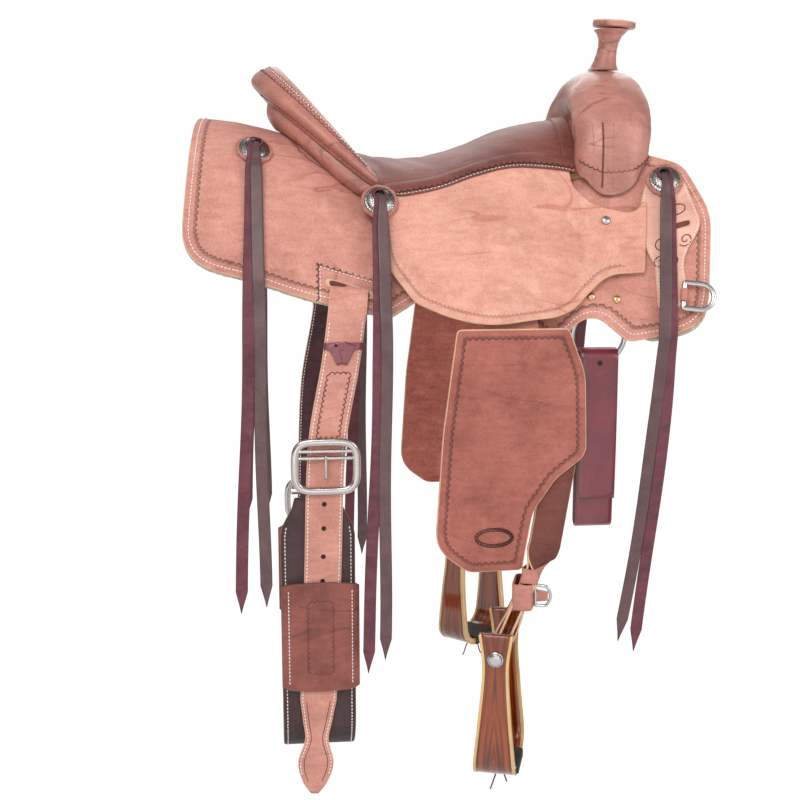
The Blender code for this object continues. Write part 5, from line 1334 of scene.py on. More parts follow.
class SADDLE_OT_swell(bpy.types.Operator):
    """The swell's cover with its wrinkles, side seams and stamped arcs, and the horn"""

    bl_idname = "saddle.swell"
    bl_label = "Swell and horn"

    def execute(self, context):
        rows, cols = 121, 72
        outer = fork_surface(0.0053, rows, cols)
        inner = fork_surface(0.0020, rows, cols)
        normal = unit(outer - inner)
        folds = lumps(outer, 0.05, 31) * 0.0007 + lumps(outer * (1, 0.4, 1), 0.022, 32) * 0.00035
        outer = outer + normal * (folds - 0.0003)[..., None]
        grid = np.concatenate([outer, inner[::-1]])
        faces = grid_faces(2 * rows, cols, True, True)
        make("swell_leather", grid.reshape(-1, 3), faces, [MATS["swell"]], "saddle", ["swell_cover"])
        for label, side in SIDES:
            self.seam(outer, side, label)
        self.horn()
        return {"FINISHED"}

    def seam(self, outer, side, label):
        """A seam down the middle of the swell's side, a thin line painted dark as the shade in it, and a
        stamped arc above its lower edge.
        """
        rows, cols = outer.shape[:2]
        middle = outer[rows // 2, :, :].mean(0) * (1, 0, 1) - (0, 0, 0.12)
        picks = np.arange(int(rows * (1 + 0.64) / 2), rows - 1)
        picks = picks if side > 0 else rows - 1 - picks
        path = smooth_path(outer[picks, int(cols * 0.31)][::3], 50)
        out = unit(path - middle)
        wire(f"swell_seam_{label}", path + out * 0.0001, out, 0.0013, [MATS["pressed"]], "saddle",
             joined=False, count=8)
        for k, share in enumerate((0.27, 0.35)):
            fold = smooth_path(outer[picks, int(cols * share)][::3], 40)
            wire(f"swell_fold_{label}_{k + 1}", fold - out[:40] * 0.0006, out[:40], 0.0011, [MATS["swell"]],
                 "saddle", joined=False, count=8)
        row = int(rows * (1 + 0.90) / 2) if side > 0 else rows - 1 - int(rows * (1 + 0.90) / 2)
        arc = smooth_path(outer[row, int(cols * 0.06):int(cols * 0.47)][::3], 80)
        scallops(f"swell_stamps_{label}", arc, unit(arc - middle), "saddle", MATS["pressed"], 0.0075,
                 0.0030, 0.0008)

    def horn(self):
        """The neck is a leaning turned profile with wrap ridges; the cap a disc with a rounded binding."""
        foot = np.array((0.239, 0.0, 0.2472))
        lean = math.tan(math.radians(11))
        h = np.linspace(0.0004, 0.058, 90)
        r = line_through(((0.0, 0.0225), (0.006, 0.0188), (0.020, 0.0152), (0.034, 0.0142), (0.047, 0.0170),
                          (0.056, 0.0236), (0.058, 0.0255)))(h)
        a = around(48)
        wrap = 0.00045 * np.abs(np.sin((h[:, None] / 0.0095 + a[None, :] / (2 * math.pi)) * math.pi))
        radius = r[:, None] + wrap - 0.0002
        x = radius * np.cos(a) + lean * h[:, None]
        rings = foot + np.stack([x, radius * np.sin(a), np.broadcast_to(h[:, None], radius.shape)], -1)
        skin("horn_neck_leather", rings, [MATS["swell"]], "saddle", ["horn_wrap"])
        tilt = math.radians(4)
        seat = foot + np.array((lean * 0.0605, 0, 0.0605))
        ahead, axis = np.array((math.cos(tilt), 0, -math.sin(tilt))), np.array((math.sin(tilt), 0,
                                                                                math.cos(tilt)))
        seat = seat + ahead * 0.003

        def oval(angle, _):
            return -0.03 * np.sin(angle) ** 2

        top = turned([(0.0002, 0.0093), (0.012, 0.0093), (0.024, 0.0088), (0.0285, 0.0082), (0.0285, 0.0052),
                      (0.0002, 0.0050)], seat, axis, ahead, 64, oval)
        skin("horn_cap_top", top, [MATS["swell"]], "saddle", ["horn_cap"])
        band = smooth_path([(0.0245, 0.0002), (0.0300, 0.0006), (0.0312, 0.0045), (0.0304, 0.0083),
                            (0.0282, 0.0094), (0.0262, 0.0088)], 20)
        band = np.concatenate([[(0.0002, 0.0002)], band, [(0.0255, 0.0072), (0.0002, 0.0070)]])
        skin("horn_cap_binding", turned(band, seat, axis, ahead, 64, oval), [MATS["swell"]], "saddle",
             ["horn_cap"])
        lip = turned([(0.0300, 0.0084)], seat, axis, ahead, 90, oval)[0]
        wire("horn_cap_lip", lip, axis, 0.0012, [MATS["cut"]], "saddle", count=8)
        ring = turned([(0.0249, 0.0093)], seat, axis, ahead, 90, oval)[0]
        stitches("horn_stitching", closed(ring), axis, "saddle", MATS["thread"], 0.0040, 0.0026,
                 0.0004)


def on_skirt(x, s, n):
    """The face of the front plates, 4 mm thick on the skirt."""
    return on_back(x, s, GAP + 0.004 + n)


class SADDLE_OT_keepers(bpy.types.Operator):
    """The tooled plates at the front corners: slot and hole; the loops that hold the dees are made with the
    dees
    """

    bl_idname = "saddle.keepers"
    bl_label = "Front keepers"

    def execute(self, context):
        for label, side in SIDES:
            panel(f"keeper_plate_{label}", KEEPER, on_skirt, 0.004,
                  [MATS["keeper"], MATS["cut"], MATS["flesh"]], "saddle", [f"front_keeper_{label}"], side)
            slot_frame(f"keeper_slot_{label}", on_skirt, 0.302, 0.242, 0.036, 0.008, side)
            # The hole is a dark disc set on the plate: painted shade.
            spot, out = surface_spot(on_skirt, 0.283, 0.316, 0.0001, side)
            skin(f"keeper_hole_{label}", turned([(0.0002, 0.0), (0.0052, 0.0001), (0.0060, 0.0005),
                                                 (0.0068, -0.0002), (0.0002, -0.0006)], spot, out,
                                                (1, 0, 0), 24), [MATS["dark"]], "saddle")
            path, ways = inset_path(KEEPER, 0.0032, (0.264, 0.172), (0.318, 0.175), on_skirt, 0.0001, side)
            stitches(f"keeper_stitching_{label}", path, ways, "saddle", MATS["thread"], 0.0046, 0.0034,
                     0.0007)
            self.flourishes(label, side)
        return {"FINISHED"}

    def flourishes(self, label, side):
        """Pressed lines, darker as pressed leather and painted darker still as the shade in them: a bare oval
        above the slot and four curls below it, each a spiral in the pattern.
        """
        t = np.linspace(0, 1, 60)
        rings = [(0.303 + 0.013 * np.cos(t * 6.2832), 0.2185 + 0.0075 * np.sin(t * 6.2832))]
        for x, s, size, spin, start in ((0.2790, 0.2600, 0.011, 1, 0.4), (0.3120, 0.2640, 0.010, -1, 2.6),
                                        (0.2740, 0.2860, 0.010, -1, 0.2), (0.2940, 0.2900, 0.009, 1, 2.0)):
            turn = start + spin * t * 8.5
            rings.append((x + size * (1 - 0.8 * t) * np.cos(turn), s + size * (1 - 0.8 * t) * np.sin(turn)))
        for k, (x, s) in enumerate(rings):
            line = on_skirt(x, s, np.full(60, -0.0001)) * (1.0, -side, 1.0)
            wire(f"keeper_line_{label}_{k + 1}", line, (0, 1, 0.3), 0.00085, [MATS["pressed"]], "saddle",
                 joined=False, count=6)


def slot_frame(name, place, x, s, length, width, side):
    """A cut slot: a dark strip, painted as the shade inside the slot, sunk in the leather inside a pressed
    rim, both following the surface.
    """
    t = around(48)
    px = squared(np.cos(t), 0.35) * length / 2
    ps = squared(np.sin(t), 0.5) * width / 2
    levels = ((0.02, 0.0001), (0.6, 0.0001), (0.92, 0.0002), (1.0, 0.0007), (1.16, 0.0007), (1.24, -0.0003),
              (0.02, -0.0010))
    rings = np.array([place(x + px * k, s + ps * (1 + (k - 1) * 1.6 if k > 1 else k), np.full(len(t), n))
                      for k, n in levels])
    rings[..., 1] *= -side
    verts, faces = tube_mesh(rings)
    cols = len(t)
    slots = [0] * (3 * cols) + [1] * (3 * cols) + [0] * (len(faces) - 6 * cols)
    return make(name, verts, faces, [MATS["pressed"], MATS["cut"]], "saddle", slots=slots)


CONCHOS = (("rear", on_back, -0.271, 0.127, 2 * GAP, 0.0), ("middle", on_jockey, -0.103, 0.020, 0.0058, 6.0),
           ("front", on_back, 0.293, 0.172, 0.004 + 3 * GAP, 0.0))


def concho_axes(place, x, s, lift, tilt, side):
    """A concho's seat, the way along the horse, and the way out of the leather."""
    here, ahead, out = surface_axes(place, x, s)
    spot = here + out * lift
    a = math.radians(tilt)
    out = out * math.cos(a) + np.cross(ahead, out) * math.sin(a)
    flip = np.array((1.0, -side, 1.0))
    return spot * flip, ahead * flip, out * flip


ROSETTE = ((0.0002, 0.0), (0.0240, 0.0), (0.0246, 0.0008), (0.0246, 0.0022), (0.0240, 0.0030),
           (0.0002, 0.0031))
CONCHO = ((0.0002, 0.0030), (0.0206, 0.0031), (0.0210, 0.0036), (0.0204, 0.0043), (0.0188, 0.0047),
          (0.0176, 0.0050), (0.0167, 0.0062), (0.0136, 0.0076), (0.0085, 0.0088), (0.0040, 0.0091),
          (0.0002, 0.0091))


class SADDLE_OT_conchos(bpy.types.Operator):
    """Six engraved silver conchos on scalloped leather rosettes"""

    bl_idname = "saddle.conchos"
    bl_label = "Conchos"

    def execute(self, context):
        for label, side in SIDES:
            for name, place, x, s, lift, tilt in CONCHOS:
                spot, ahead, out = concho_axes(place, x, s, lift, tilt, side)
                nodes = [f"concho_{name}_{label}"]
                leaf = turned(ROSETTE, spot, out, ahead, 120, self.leaves)
                skin(f"rosette_{name}_{label}", leaf, [MATS["rosette"]], "saddle", nodes)
                dome = turned(CONCHO, spot, out, ahead, 112, self.notches)
                skin(f"silver_{name}_{label}", dome, [MATS["engraved"]], "saddle", nodes)
        return {"FINISHED"}

    def leaves(self, angle, radius):
        """Twelve rounded leaves round the rosette's edge."""
        return 0.045 * np.abs(np.cos(6 * angle)) * (radius > 0.0235)

    def notches(self, angle, radius):
        """Twenty-eight small waves round the silver's edge."""
        return 0.018 * np.cos(28 * angle) * (radius > 0.0188)


STRINGS = (
    ("rear", on_back, -0.271, 0.127, 2 * GAP, 0.13, ((-0.300, -0.490), (-0.266, -0.475)), 0.322, 0.2385),
    ("middle", on_jockey, -0.103, 0.020, 0.0058 + 2 * GAP, 0.40, ((-0.128, -0.577), (-0.104, -0.558)), 0.120,
     0.2385),
    ("front", on_back, 0.293, 0.172, 0.004 + 3 * GAP, 0.13, ((0.220, -0.514), (0.242, -0.537)), 0.392, 0.255),
)


def string_line(place, x, s, base, bend, edge, hang):
    """The line a lace follows: over its concho, down the leather, then hanging free: out, height, run."""
    off = 0.0006
    over, past = 0.009 + off, 0.003 + 2 * off
    line = []
    for beyond in (-0.012, 0.0, 0.010, 0.0205, 0.032, 0.085, 0.130, 0.175):
        if s + beyond >= edge - 0.02:
            continue
        if beyond < 0.0295:
            high = over + (past - over) * float(smooth((beyond - 0.008) / 0.02)) + beyond**2 / (2 * bend)
        else:
            top = past + 0.0295**2 / (2 * bend)
            high = off + GAP + (top - off - GAP) * (1 - float(smooth((beyond - 0.0295) / 0.012)))
        line.append(place(x, s + beyond, base + high)[1:])
    line.append(place(x, edge, base + off + GAP)[1:])
    last = line[-1]
    for k in range(1, 5):
        t = k / 4
        out = -last[0] + (hang + last[0]) * float(smooth(t))
        line.append(np.array((-out, last[1] - 0.090 * t)))
    line.append(np.array((-hang, last[1] - 1.0)))
    line = np.array(line)
    return line, run_lengths(line)


class SADDLE_OT_strings(bpy.types.Operator):
    """The saddle strings: two pointed tails of lace from under a knotted loop on each concho"""

    bl_idname = "saddle.strings"
    bl_label = "Saddle strings"

    def execute(self, context):
        for label, side in SIDES:
            for name, place, x, s, base, bend, ends, edge, hang in STRINGS:
                line, runs = string_line(place, x, s, base, bend, edge, hang)
                for tail, (x_end, z_end) in enumerate(sorted(ends)):
                    sign = -1 if tail == 0 else 1
                    lap = float((tail == 1) == (name != "front"))
                    tip = runs[-2] + line[-2][1] - z_end
                    run = np.concatenate([np.linspace(0.006, 0.06, 18), np.linspace(0.066, tip, 60)])
                    y = np.interp(run, runs, line[:, 0])
                    z = np.interp(run, runs, line[:, 1])
                    start = x + sign * 0.0028
                    centre = start + (x_end - start) * smooth_share(run / tip)
                    sway = 0.0022 * np.sin(run * 17 + tail * 2 + x * 40) * smooth((run - 0.12) / 0.2)
                    over = 0.0031 * lap * (1 - 0.7 * smooth((run - 0.10) / 0.20))
                    if place is on_back:
                        z = z + back_height(centre) - back_height(x)
                    path = np.stack([centre + sway * 0.6, y - 0.0015 - over, z], -1)
                    path[:, 1] *= -side
                    widths = np.where(run < tip - 0.030, 0.0165,
                                      0.0165 * np.maximum((tip - run) / 0.030, 0.06))
                    widths = widths * (0.62 + 0.38 * smooth((run - 0.01) / 0.05))
                    piece = strap(f"lace_{name}_{label}_{tail + 1}", path, (1, 0, 0), widths, 0.0028,
                                  [MATS["maroon" if (tail == 0) == (name != "front") else "lace"]], "saddle",
                                  [f"saddle_strings_{name}_{label}"])
                self.knot(name, place, x, s, base, bend, label, side)
        return {"FINISHED"}

    def knot(self, name, place, x, s, base, bend, label, side):
        """The loop of lace over the concho: a ring of strap, wider than it is tall."""
        lift = dict((row[0], row[4:]) for row in CONCHOS)[name]
        spot, ahead, out = concho_axes(place, x, s, lift[0], lift[1], side)
        across = np.cross(out, ahead)
        if across[2] > 0:
            across = -across
        t = around(40)
        u = 0.0078 * np.cos(t)
        v = -0.0052 + 0.0090 * np.sin(t)
        h = 0.0112 + 0.0012 * np.cos(2 * t)
        path = spot + ahead * u[:, None] + across * v[:, None] + out * h[:, None]
        ways = unit(across * 0.9 + ahead * 0.1)
        band(f"lace_knot_{name}_{label}", path, out + 0.9 * ways, 0.0065, 0.0024, [MATS["maroon"]],
             "saddle")


def smooth_share(t):
    """A share that starts slowly and then runs straight."""
    t = np.clip(t, 0, 1)
    return t * (0.55 + 0.45 * t)


class SADDLE_OT_dees(bpy.types.Operator):
    """The breast collar dees at the front corners"""

    bl_idname = "saddle.dees"
    bl_label = "Breast dees"

    def execute(self, context):
        for label, side in SIDES:
            here, ahead, out = concho_axes(on_back, 0.303, 0.342, 0.0052 + 0.004, 0.0, -1.0)
            a = math.radians(-22)
            across = np.cross(out, ahead)
            turned_ahead = ahead * math.cos(a) + across * math.sin(a)
            turned_across = np.cross(out, turned_ahead)
            flip = np.array((1.0, -side, 1.0))
            here, turned_ahead, turned_across, out = (v * flip for v in (here, turned_ahead, turned_across,
                                                                         out))
            half = 0.018
            t = np.linspace(math.pi / 2, -math.pi / 2, 30)
            shape = np.concatenate([np.stack([np.zeros(12), np.linspace(-half, half, 12)], -1),
                                    np.stack([np.linspace(0.002, 0.022, 8), np.full(8, half)], -1),
                                    np.stack([0.022 + half * np.cos(t), half * np.sin(t)], -1)[1:-1],
                                    np.stack([np.linspace(0.022, 0.002, 8), np.full(8, -half)], -1)])
            path = here + turned_ahead * shape[:, :1] + turned_across * shape[:, 1:]
            wire(f"silver_dee_{label}", path, out, 0.0023, [MATS["silver"]], f"dee_{label}",
                 [f"breast_dee_{label}"], count=20, wide=1.5)
            loop = around(32)
            ring = (here + out * (0.0043 * np.cos(loop))[:, None]
                    + turned_ahead * (0.0043 * np.sin(loop))[:, None])
            band(f"dee_loop_{label}", ring, turned_across, 0.018, 0.0016, [MATS["plain"]], "saddle")
        return {"FINISHED"}


class SADDLE_OT_rigging(bpy.types.Operator):
    """The front rigging rings, the leather that holds them with two rivets, and the burgundy straps"""

    bl_idname = "saddle.rigging"
    bl_label = "Front rigging"

    def execute(self, context):
        for label, side in SIDES:
            centre = np.array((0.192, 0.2045 * side, -0.116))
            t = around(60)
            path = centre + np.stack([0.037 * np.cos(t), 0 * t, 0.037 * np.sin(t)], -1)
            wire(f"silver_ring_{label}", path, (0, 1, 0), 0.0038, [MATS["silver"]], "saddle",
                 [f"rigging_ring_{label}"])
            top = centre + np.array((0, 0, 0.037))
            loop = np.stack([0 * t, 0.0062 * np.cos(t), 0.0062 * np.sin(t)], -1) + top
            band(f"rigging_loop_{label}", loop, (1, 0, 0), 0.030, 0.0021, [MATS["plain"]], "saddle")
            for k, (x, s) in enumerate(((0.181, 0.302), (0.215, 0.317))):
                spot, out = surface_spot(on_back, x, s, 0.0002, side)
                skin(f"rigging_rivet_{label}_{k + 1}", turned([(0.0055, -0.0003), (0.0055, 0.0007),
                                                               (0.0040, 0.0018), (0.0015, 0.0022),
                                                               (0.0003, 0.0022)], spot, out, (1, 0, 0), 24),
                     [MATS["brass"]], "saddle")
        for (label, side), name, body in zip(SIDES, ("off_billet", "near_latigo"),
                                             ("off_strap", "near_strap")):
            self.fold(name, body, side)
        return {"FINISHED"}

    def fold(self, name, body, side):
        """The strap folded over its ring and tucked up into itself: straight runs joined by half circles."""
        outer, inner = 0.2045 + 0.014, 0.2045 - 0.014
        bend, centre, low = 0.014, 0.2045, 0.009
        t = np.linspace(0, math.pi, 13)

        def bulge(count, most):
            return most * np.sin(np.linspace(0, math.pi, count))

        down = np.linspace(-0.341, -0.165, 20)
        line = [np.stack([outer + bulge(20, 0.0015), down], -1),
                np.stack([centre + bend * np.cos(t), -0.1314 - 0.002 - bend + bend * np.sin(t)], -1),
                np.stack([inner - bulge(20, 0.001), np.linspace(-0.181, -0.366, 20)], -1),
                np.stack([inner + low - low * np.cos(t), -0.386 + 0.002 + low - low * np.sin(t)], -1),
                np.stack([np.full(12, inner + 2 * low) + bulge(12, 0.001), np.linspace(-0.370, -0.262, 12)],
                         -1)]
        line = np.concatenate(line)
        path = np.stack([np.full(len(line), 0.192), line[:, 0] * side, line[:, 1]], -1)
        strap(f"{name}_strap", path, (1, 0, 0), 0.052, 0.0038, [MATS["latigo"]], body, [name])
        # Punched holes drawn as dark discs: painted shade.
        for k, z in enumerate((-0.151, -0.205, -0.262, -0.310)):
            spot = np.array((0.192, (outer + 0.0022) * side, z))
            skin(f"{name}_hole_{k + 1}", turned([(0.0002, 0.0), (0.0026, 0.0), (0.0031, 0.0005),
                                                 (0.0036, -0.0003), (0.0002, -0.0010)], spot, (0, side, 0),
                                                (1, 0, 0), 16), [MATS["dark"]], body)


flank_line = line_through(((-0.760, -0.2030), (-0.600, -0.1950), (-0.440, -0.1880), (-0.255, -0.1800),
                           (-0.140, -0.1600), (-0.040, -0.1470)))
tip_width = line_through(((-0.762, 0.010), (-0.745, 0.034), (-0.715, 0.050), (-0.680, 0.033), (-0.655, 0.040),
                          (-0.620, 0.051)))
BUCKLE_AT = {"off": -0.285, "near": -0.455}
PATCH_TOP = {"off": -0.452, "near": -0.500}
HANG = 0.224


def oblong(half, top, low, count):
    """Even points round a rectangle, from its upper left corner."""
    return resample(((-half, top), (half, top), (half, low), (-half, low), (-half, top)), count)


class SADDLE_OT_flank(bpy.types.Operator):
    """The flank rigging: stitched straps, buckles with tongues, keepers and the broad cinch"""

    bl_idname = "saddle.flank"
    bl_label = "Flank rigging"

    def execute(self, context):
        pitch = context.scene.saddle_sizes.stitch
        for label, side in SIDES:
            self.billet(label, side, pitch)
            self.tooling(label, side)
            self.buckle(label, side)
            self.patch(label, side, pitch)
            slot_frame(f"flank_slot_{label}", on_back, -0.147, 0.296, 0.054, 0.010, side)
            arch = resample(np.array(((-0.187, 0.326), (-0.186, 0.277), (-0.108, 0.277), (-0.107, 0.320))),
                            90)
            line = on_back(arch[:, 0], arch[:, 1], 0.0003)
            out = unit(on_back(arch[:, 0], arch[:, 1], 0.0013) - line)
            flip = np.array((1.0, -side, 1.0))
            stitches(f"slot_stitching_{label}", line * flip, out * flip, "saddle", MATS["thread"], pitch)
            arch = resample(np.array(((-0.192, 0.326), (-0.191, 0.272), (-0.103, 0.272), (-0.102, 0.318))),
                            90)
            line = on_back(arch[:, 0], arch[:, 1], 0.0001)
            scallops(f"slot_stamps_{label}", (line * flip)[::int(side)], (out * flip)[::int(side)], "saddle",
                     MATS["pressed"])
        self.cinch(pitch)
        return {"FINISHED"}

    def line(self, z):
        """The strap's run along the horse and its distance out at a height."""
        hang = HANG - 0.0155 * smooth((z + 0.075) / 0.035)
        return flank_line(z), hang

    def billet(self, label, side, pitch):
        """The strap with its tip, a row of stitches down each edge on both faces, and punched holes."""
        z = np.linspace(-0.0462, -0.761, 150)
        x, hang = self.line(z)
        path = np.stack([x, hang * side, z], -1)
        widths = np.where(z > -0.620, 0.051, np.maximum(tip_width(z), 0.006))
        strap(f"flank_strap_{label}", path, (1, 0, 0), widths, 0.0038, [MATS["strap"], MATS["lining"]],
              "flank_rigging", [f"flank_billet_{label}"], SECOND_FACE if side < 0 else FIRST_FACE)
        pick = (z > -0.735) & (z < -0.085)
        for end, sign in ENDS:
            shift = sign * (widths[pick] / 2 - 0.0036)
            row = path[pick] + np.stack([shift, np.full(pick.sum(), 0.0020 * side), 0 * shift], -1)
            stitches(f"flank_stitching_{label}_{end}", row, (0, side, 0), "flank_rigging",
                     MATS["thread"], pitch)
            inner = row - (0, 0.0040 * side, 0)
            stitches(f"flank_under_{label}_{end}", inner, (0, -side, 0), "flank_rigging",
                     MATS["thread"], pitch)
        # Punched holes drawn as dark discs: painted shade.
        for k, hz in enumerate((-0.338, -0.372, -0.412, -0.447)):
            spot = np.array((float(flank_line(hz)), (HANG + 0.0020) * side, hz))
            skin(f"flank_hole_{label}_{k + 1}", turned([(0.0002, 0.0), (0.0024, 0.0), (0.0030, 0.0005),
                                                        (0.0035, -0.0003), (0.0002, -0.0008)], spot,
                                                       (0, side, 0), (1, 0, 0), 16), [MATS["dark"]],
                 "flank_rigging")

    def tooling(self, label, side):
        """The stamped rectangle above the buckle, the wavy lines in the tip and the laced triangles."""
        y = (HANG + 0.0019) * side
        loop = oblong(0.0125, -0.160, -0.244, 120)
        path = np.stack([flank_line(loop[:, 1]) + loop[:, 0], np.full(120, y), loop[:, 1]], -1)
        scallops(f"flank_stamps_{label}", path, (0, side, 0), "flank_rigging", MATS["pressed"], 0.0072,
                 0.0034, 0.0010)
        # Pressed lines in the tip: darker as pressed leather and painted darker still as the shade in them.
        z = -0.622 - np.linspace(0, 1, 40) * 0.120
        for end, sign in ENDS:
            path = np.stack([flank_line(z) + sign * (tip_width(z) / 2 - 0.0085), np.full(40, y), z], -1)
            wire(f"tip_line_{label}_{end}", path, (0, 1, 0), 0.0005, [MATS["pressed"]], "flank_rigging",
                 joined=False, count=6)
        across = np.stack([float(flank_line(-0.122)) + np.linspace(-0.026, 0.026, 9),
                           np.full(9, y + side * 0.0010), np.full(9, -0.122)], -1)
        strap(f"flank_lace_{label}_1", across, (0, 0, 1), 0.0105, 0.0022, [MATS["latigo"]], "flank_rigging")
        for sign in (-1, 1):
            down = np.stack([float(flank_line(-0.135)) + sign * np.linspace(0.0115, 0.0030, 9),
                             np.full(9, y + side * (0.0014 + 0.0003 * sign)),
                             np.linspace(-0.118, -0.146, 9)], -1)
            strap(f"flank_lace_{label}_{2 if sign < 0 else 3}", down, (1, 0, 0), np.linspace(0.018, 0.008, 9),
                  0.0022, [MATS["latigo"]], "flank_rigging")
            # The lace's hole is a dark disc: painted shade.
            spot = (float(flank_line(-0.12)) + sign * 0.010, y + side * 0.0022, -0.1205)
            skin(f"flank_lace_hole_{label}_{1 if sign < 0 else 2}",
                 turned([(0.0002, 0.0), (0.0017, 0.0), (0.0021, 0.0004), (0.0002, 0.0005)], spot,
                        (0, side, 0), (1, 0, 0), 12), [MATS["dark"]], "flank_rigging")

    def buckle(self, label, side):
        """A double bar frame: a rounded oblong of wire, a bar across it and a tongue over the bar."""
        mid = BUCKLE_AT[label]
        cx = float(flank_line(mid))
        y = (HANG + 0.002 + 0.0035 + 0.0003) * side
        t = around(96)
        px = squared(np.cos(t), 0.42) * 0.042
        pz = squared(np.sin(t), 0.55) * 0.034
        path = np.stack([cx + px, np.full(96, y), mid + pz], -1)
        wire(f"silver_buckle_{label}", resample(closed(path), 97)[:-1], (0, 1, 0), 0.0035,
             [MATS["buckle"]], "flank_rigging", [f"flank_buckle_{label}"], count=20, wide=1.5)
        for part, high in (("bar", 0.0120), ("slide", 0.0215)):
            bar = np.stack([np.linspace(cx - 0.041, cx + 0.041, 12), np.full(12, y),
                            np.full(12, mid + high)], -1)
            wire(f"buckle_{part}_{label}", bar, (0, 1, 0), 0.0026, [MATS["buckle"]], "flank_rigging",
                 joined=False)
        tz = np.linspace(0.016, -0.016, 14)
        tongue = np.stack([np.full(14, cx), y + side * (0.0032 + 0.0015 * np.sin(np.linspace(0, math.pi,
                                                                                             14))),
                           mid + tz], -1)
        wire(f"buckle_tongue_{label}", tongue, (1, 0, 0), 0.0020, [MATS["buckle"]], "flank_rigging",
             joined=False)

    def patch(self, label, side, pitch):
        """The keeper on the cinch's end: a plate arched over the strap, with an inner row of stitching."""
        top = PATCH_TOP[label]
        mid = top - 0.075
        x = float(flank_line(mid))
        out = HANG + 0.002 + 0.0006
        inner = HANG - 0.002 - 0.0003
        outer = smooth_path([(-0.054, inner + 0.0006), (-0.0535, inner + 0.003), (-0.038, out + 0.0038),
                             (0.0, out + 0.0042), (0.038, out + 0.0038), (0.0535, inner + 0.003),
                             (0.054, inner + 0.0006)], 40)
        under = smooth_path([(0.053, inner), (0.042, inner), (0.033, out), (0.0, out + 0.0002), (-0.033, out),
                             (-0.042, inner), (-0.053, inner)], 40)
        ring = np.concatenate([outer, under])
        z = np.concatenate([[top], np.linspace(top - 0.0006, top - 0.1494, 30), [top - 0.150]])
        bow = 1 + 0.05 * (1 - (ring[None, :, 0] / 0.054) ** 2) - 0.03 * smooth((np.abs(ring[None, :, 0])
                                                                                - 0.046) / 0.008)
        rings = np.stack(np.broadcast_arrays(x + ring[None, :, 0], ring[None, :, 1] * side,
                                             mid + (z[:, None] - mid) * bow), -1)
        verts, faces = tube_mesh(rings)
        cols = ring.shape[0]
        edge_ring = np.concatenate([0.054 - np.abs(outer[:, 0]), np.full(40, 0.03)])
        edge = np.minimum(edge_ring[None, :], np.minimum(top - z, z - top + 0.150)[:, None])
        along = np.where(np.abs(edge - edge_ring[None, :]) < 1e-9, z[:, None], ring[None, :, 0])
        marks = {"edge": np.concatenate([edge.ravel(), [0, 0]]),
                 "along": np.concatenate([along.ravel(), [0, 0]])}
        make(f"keeper_leather_{label}", verts, faces, [MATS["patch"]], "flank_rigging",
             [f"cinch_keeper_{label}"], marks=marks)
        row = np.linspace(mid - 0.068, mid + 0.068, 60)
        for end, sign in ENDS:
            py = float(np.interp(sign * 0.0435, outer[:, 0], outer[:, 1])) + 0.0002
            path = np.stack([np.full(60, x + sign * 0.0435), np.full(60, py * side), row], -1)
            stitches(f"cinch_keeper_stitching_{label}_{end}", path, (sign * 0.3, side, 0),
                     "flank_rigging", MATS["thread"], pitch)
        loop = oblong(0.015, 0.050, -0.050, 160)
        py = np.interp(loop[:, 0], outer[:, 0], outer[:, 1])
        path = np.stack([x + loop[:, 0], py * side, mid + loop[:, 1]], -1)
        scallops(f"cinch_keeper_stamps_{label}", path, (0, side, 0), "flank_rigging", MATS["pressed"],
                 0.0072, 0.0034, 0.0010)

    def cinch(self, pitch):
        """The broad cinch: a U of two straight legs and two quarter circles under a level run."""
        hang = HANG - 0.002 - 0.0006 - 0.004
        base = -0.716 + 0.004
        t = np.linspace(0, math.pi / 2, 16)
        tops = {k: v - 0.046 for k, v in BUCKLE_AT.items()}
        line = [np.stack([np.full(24, -hang), np.linspace(tops["off"], base + 0.080, 24)], -1),
                np.stack([-hang + 0.075 - 0.075 * np.cos(t), base + 0.075 - 0.075 * np.sin(t)], -1),
                np.stack([np.linspace(-hang + 0.080, hang - 0.080, 30), np.full(30, base)], -1),
                np.stack([hang - 0.075 + 0.075 * np.sin(t), base + 0.075 - 0.075 * np.cos(t)], -1),
                np.stack([np.full(16, hang), np.linspace(base + 0.080, tops["near"], 16)], -1)]
        line = np.concatenate(line)
        path = np.stack([np.full(len(line), -0.194), line[:, 0], line[:, 1]], -1)
        runs = run_lengths(path)
        ends = np.minimum(runs, runs[-1] - runs)
        widths = 0.102 * (0.62 + 0.38 * smooth(ends / 0.05))
        strap("cinch_leather", path, (1, 0, 0), widths, 0.0078, [MATS["cinch"]], "flank_rigging",
              ["flank_cinch"])
        along = unit(np.gradient(path, axis=0))
        out = np.cross(along, (1.0, 0, 0))
        for end, sign in ENDS:
            for skin_end, face in ENDS:
                row = path + np.stack([sign * (widths / 2 - 0.006), 0 * widths, 0 * widths],
                                      -1) + out * 0.0040 * face
                stitches(f"cinch_stitching_{end}_{skin_end}", row[3:-3], out[3:-3] * face,
                         "flank_rigging", MATS["thread"], pitch)


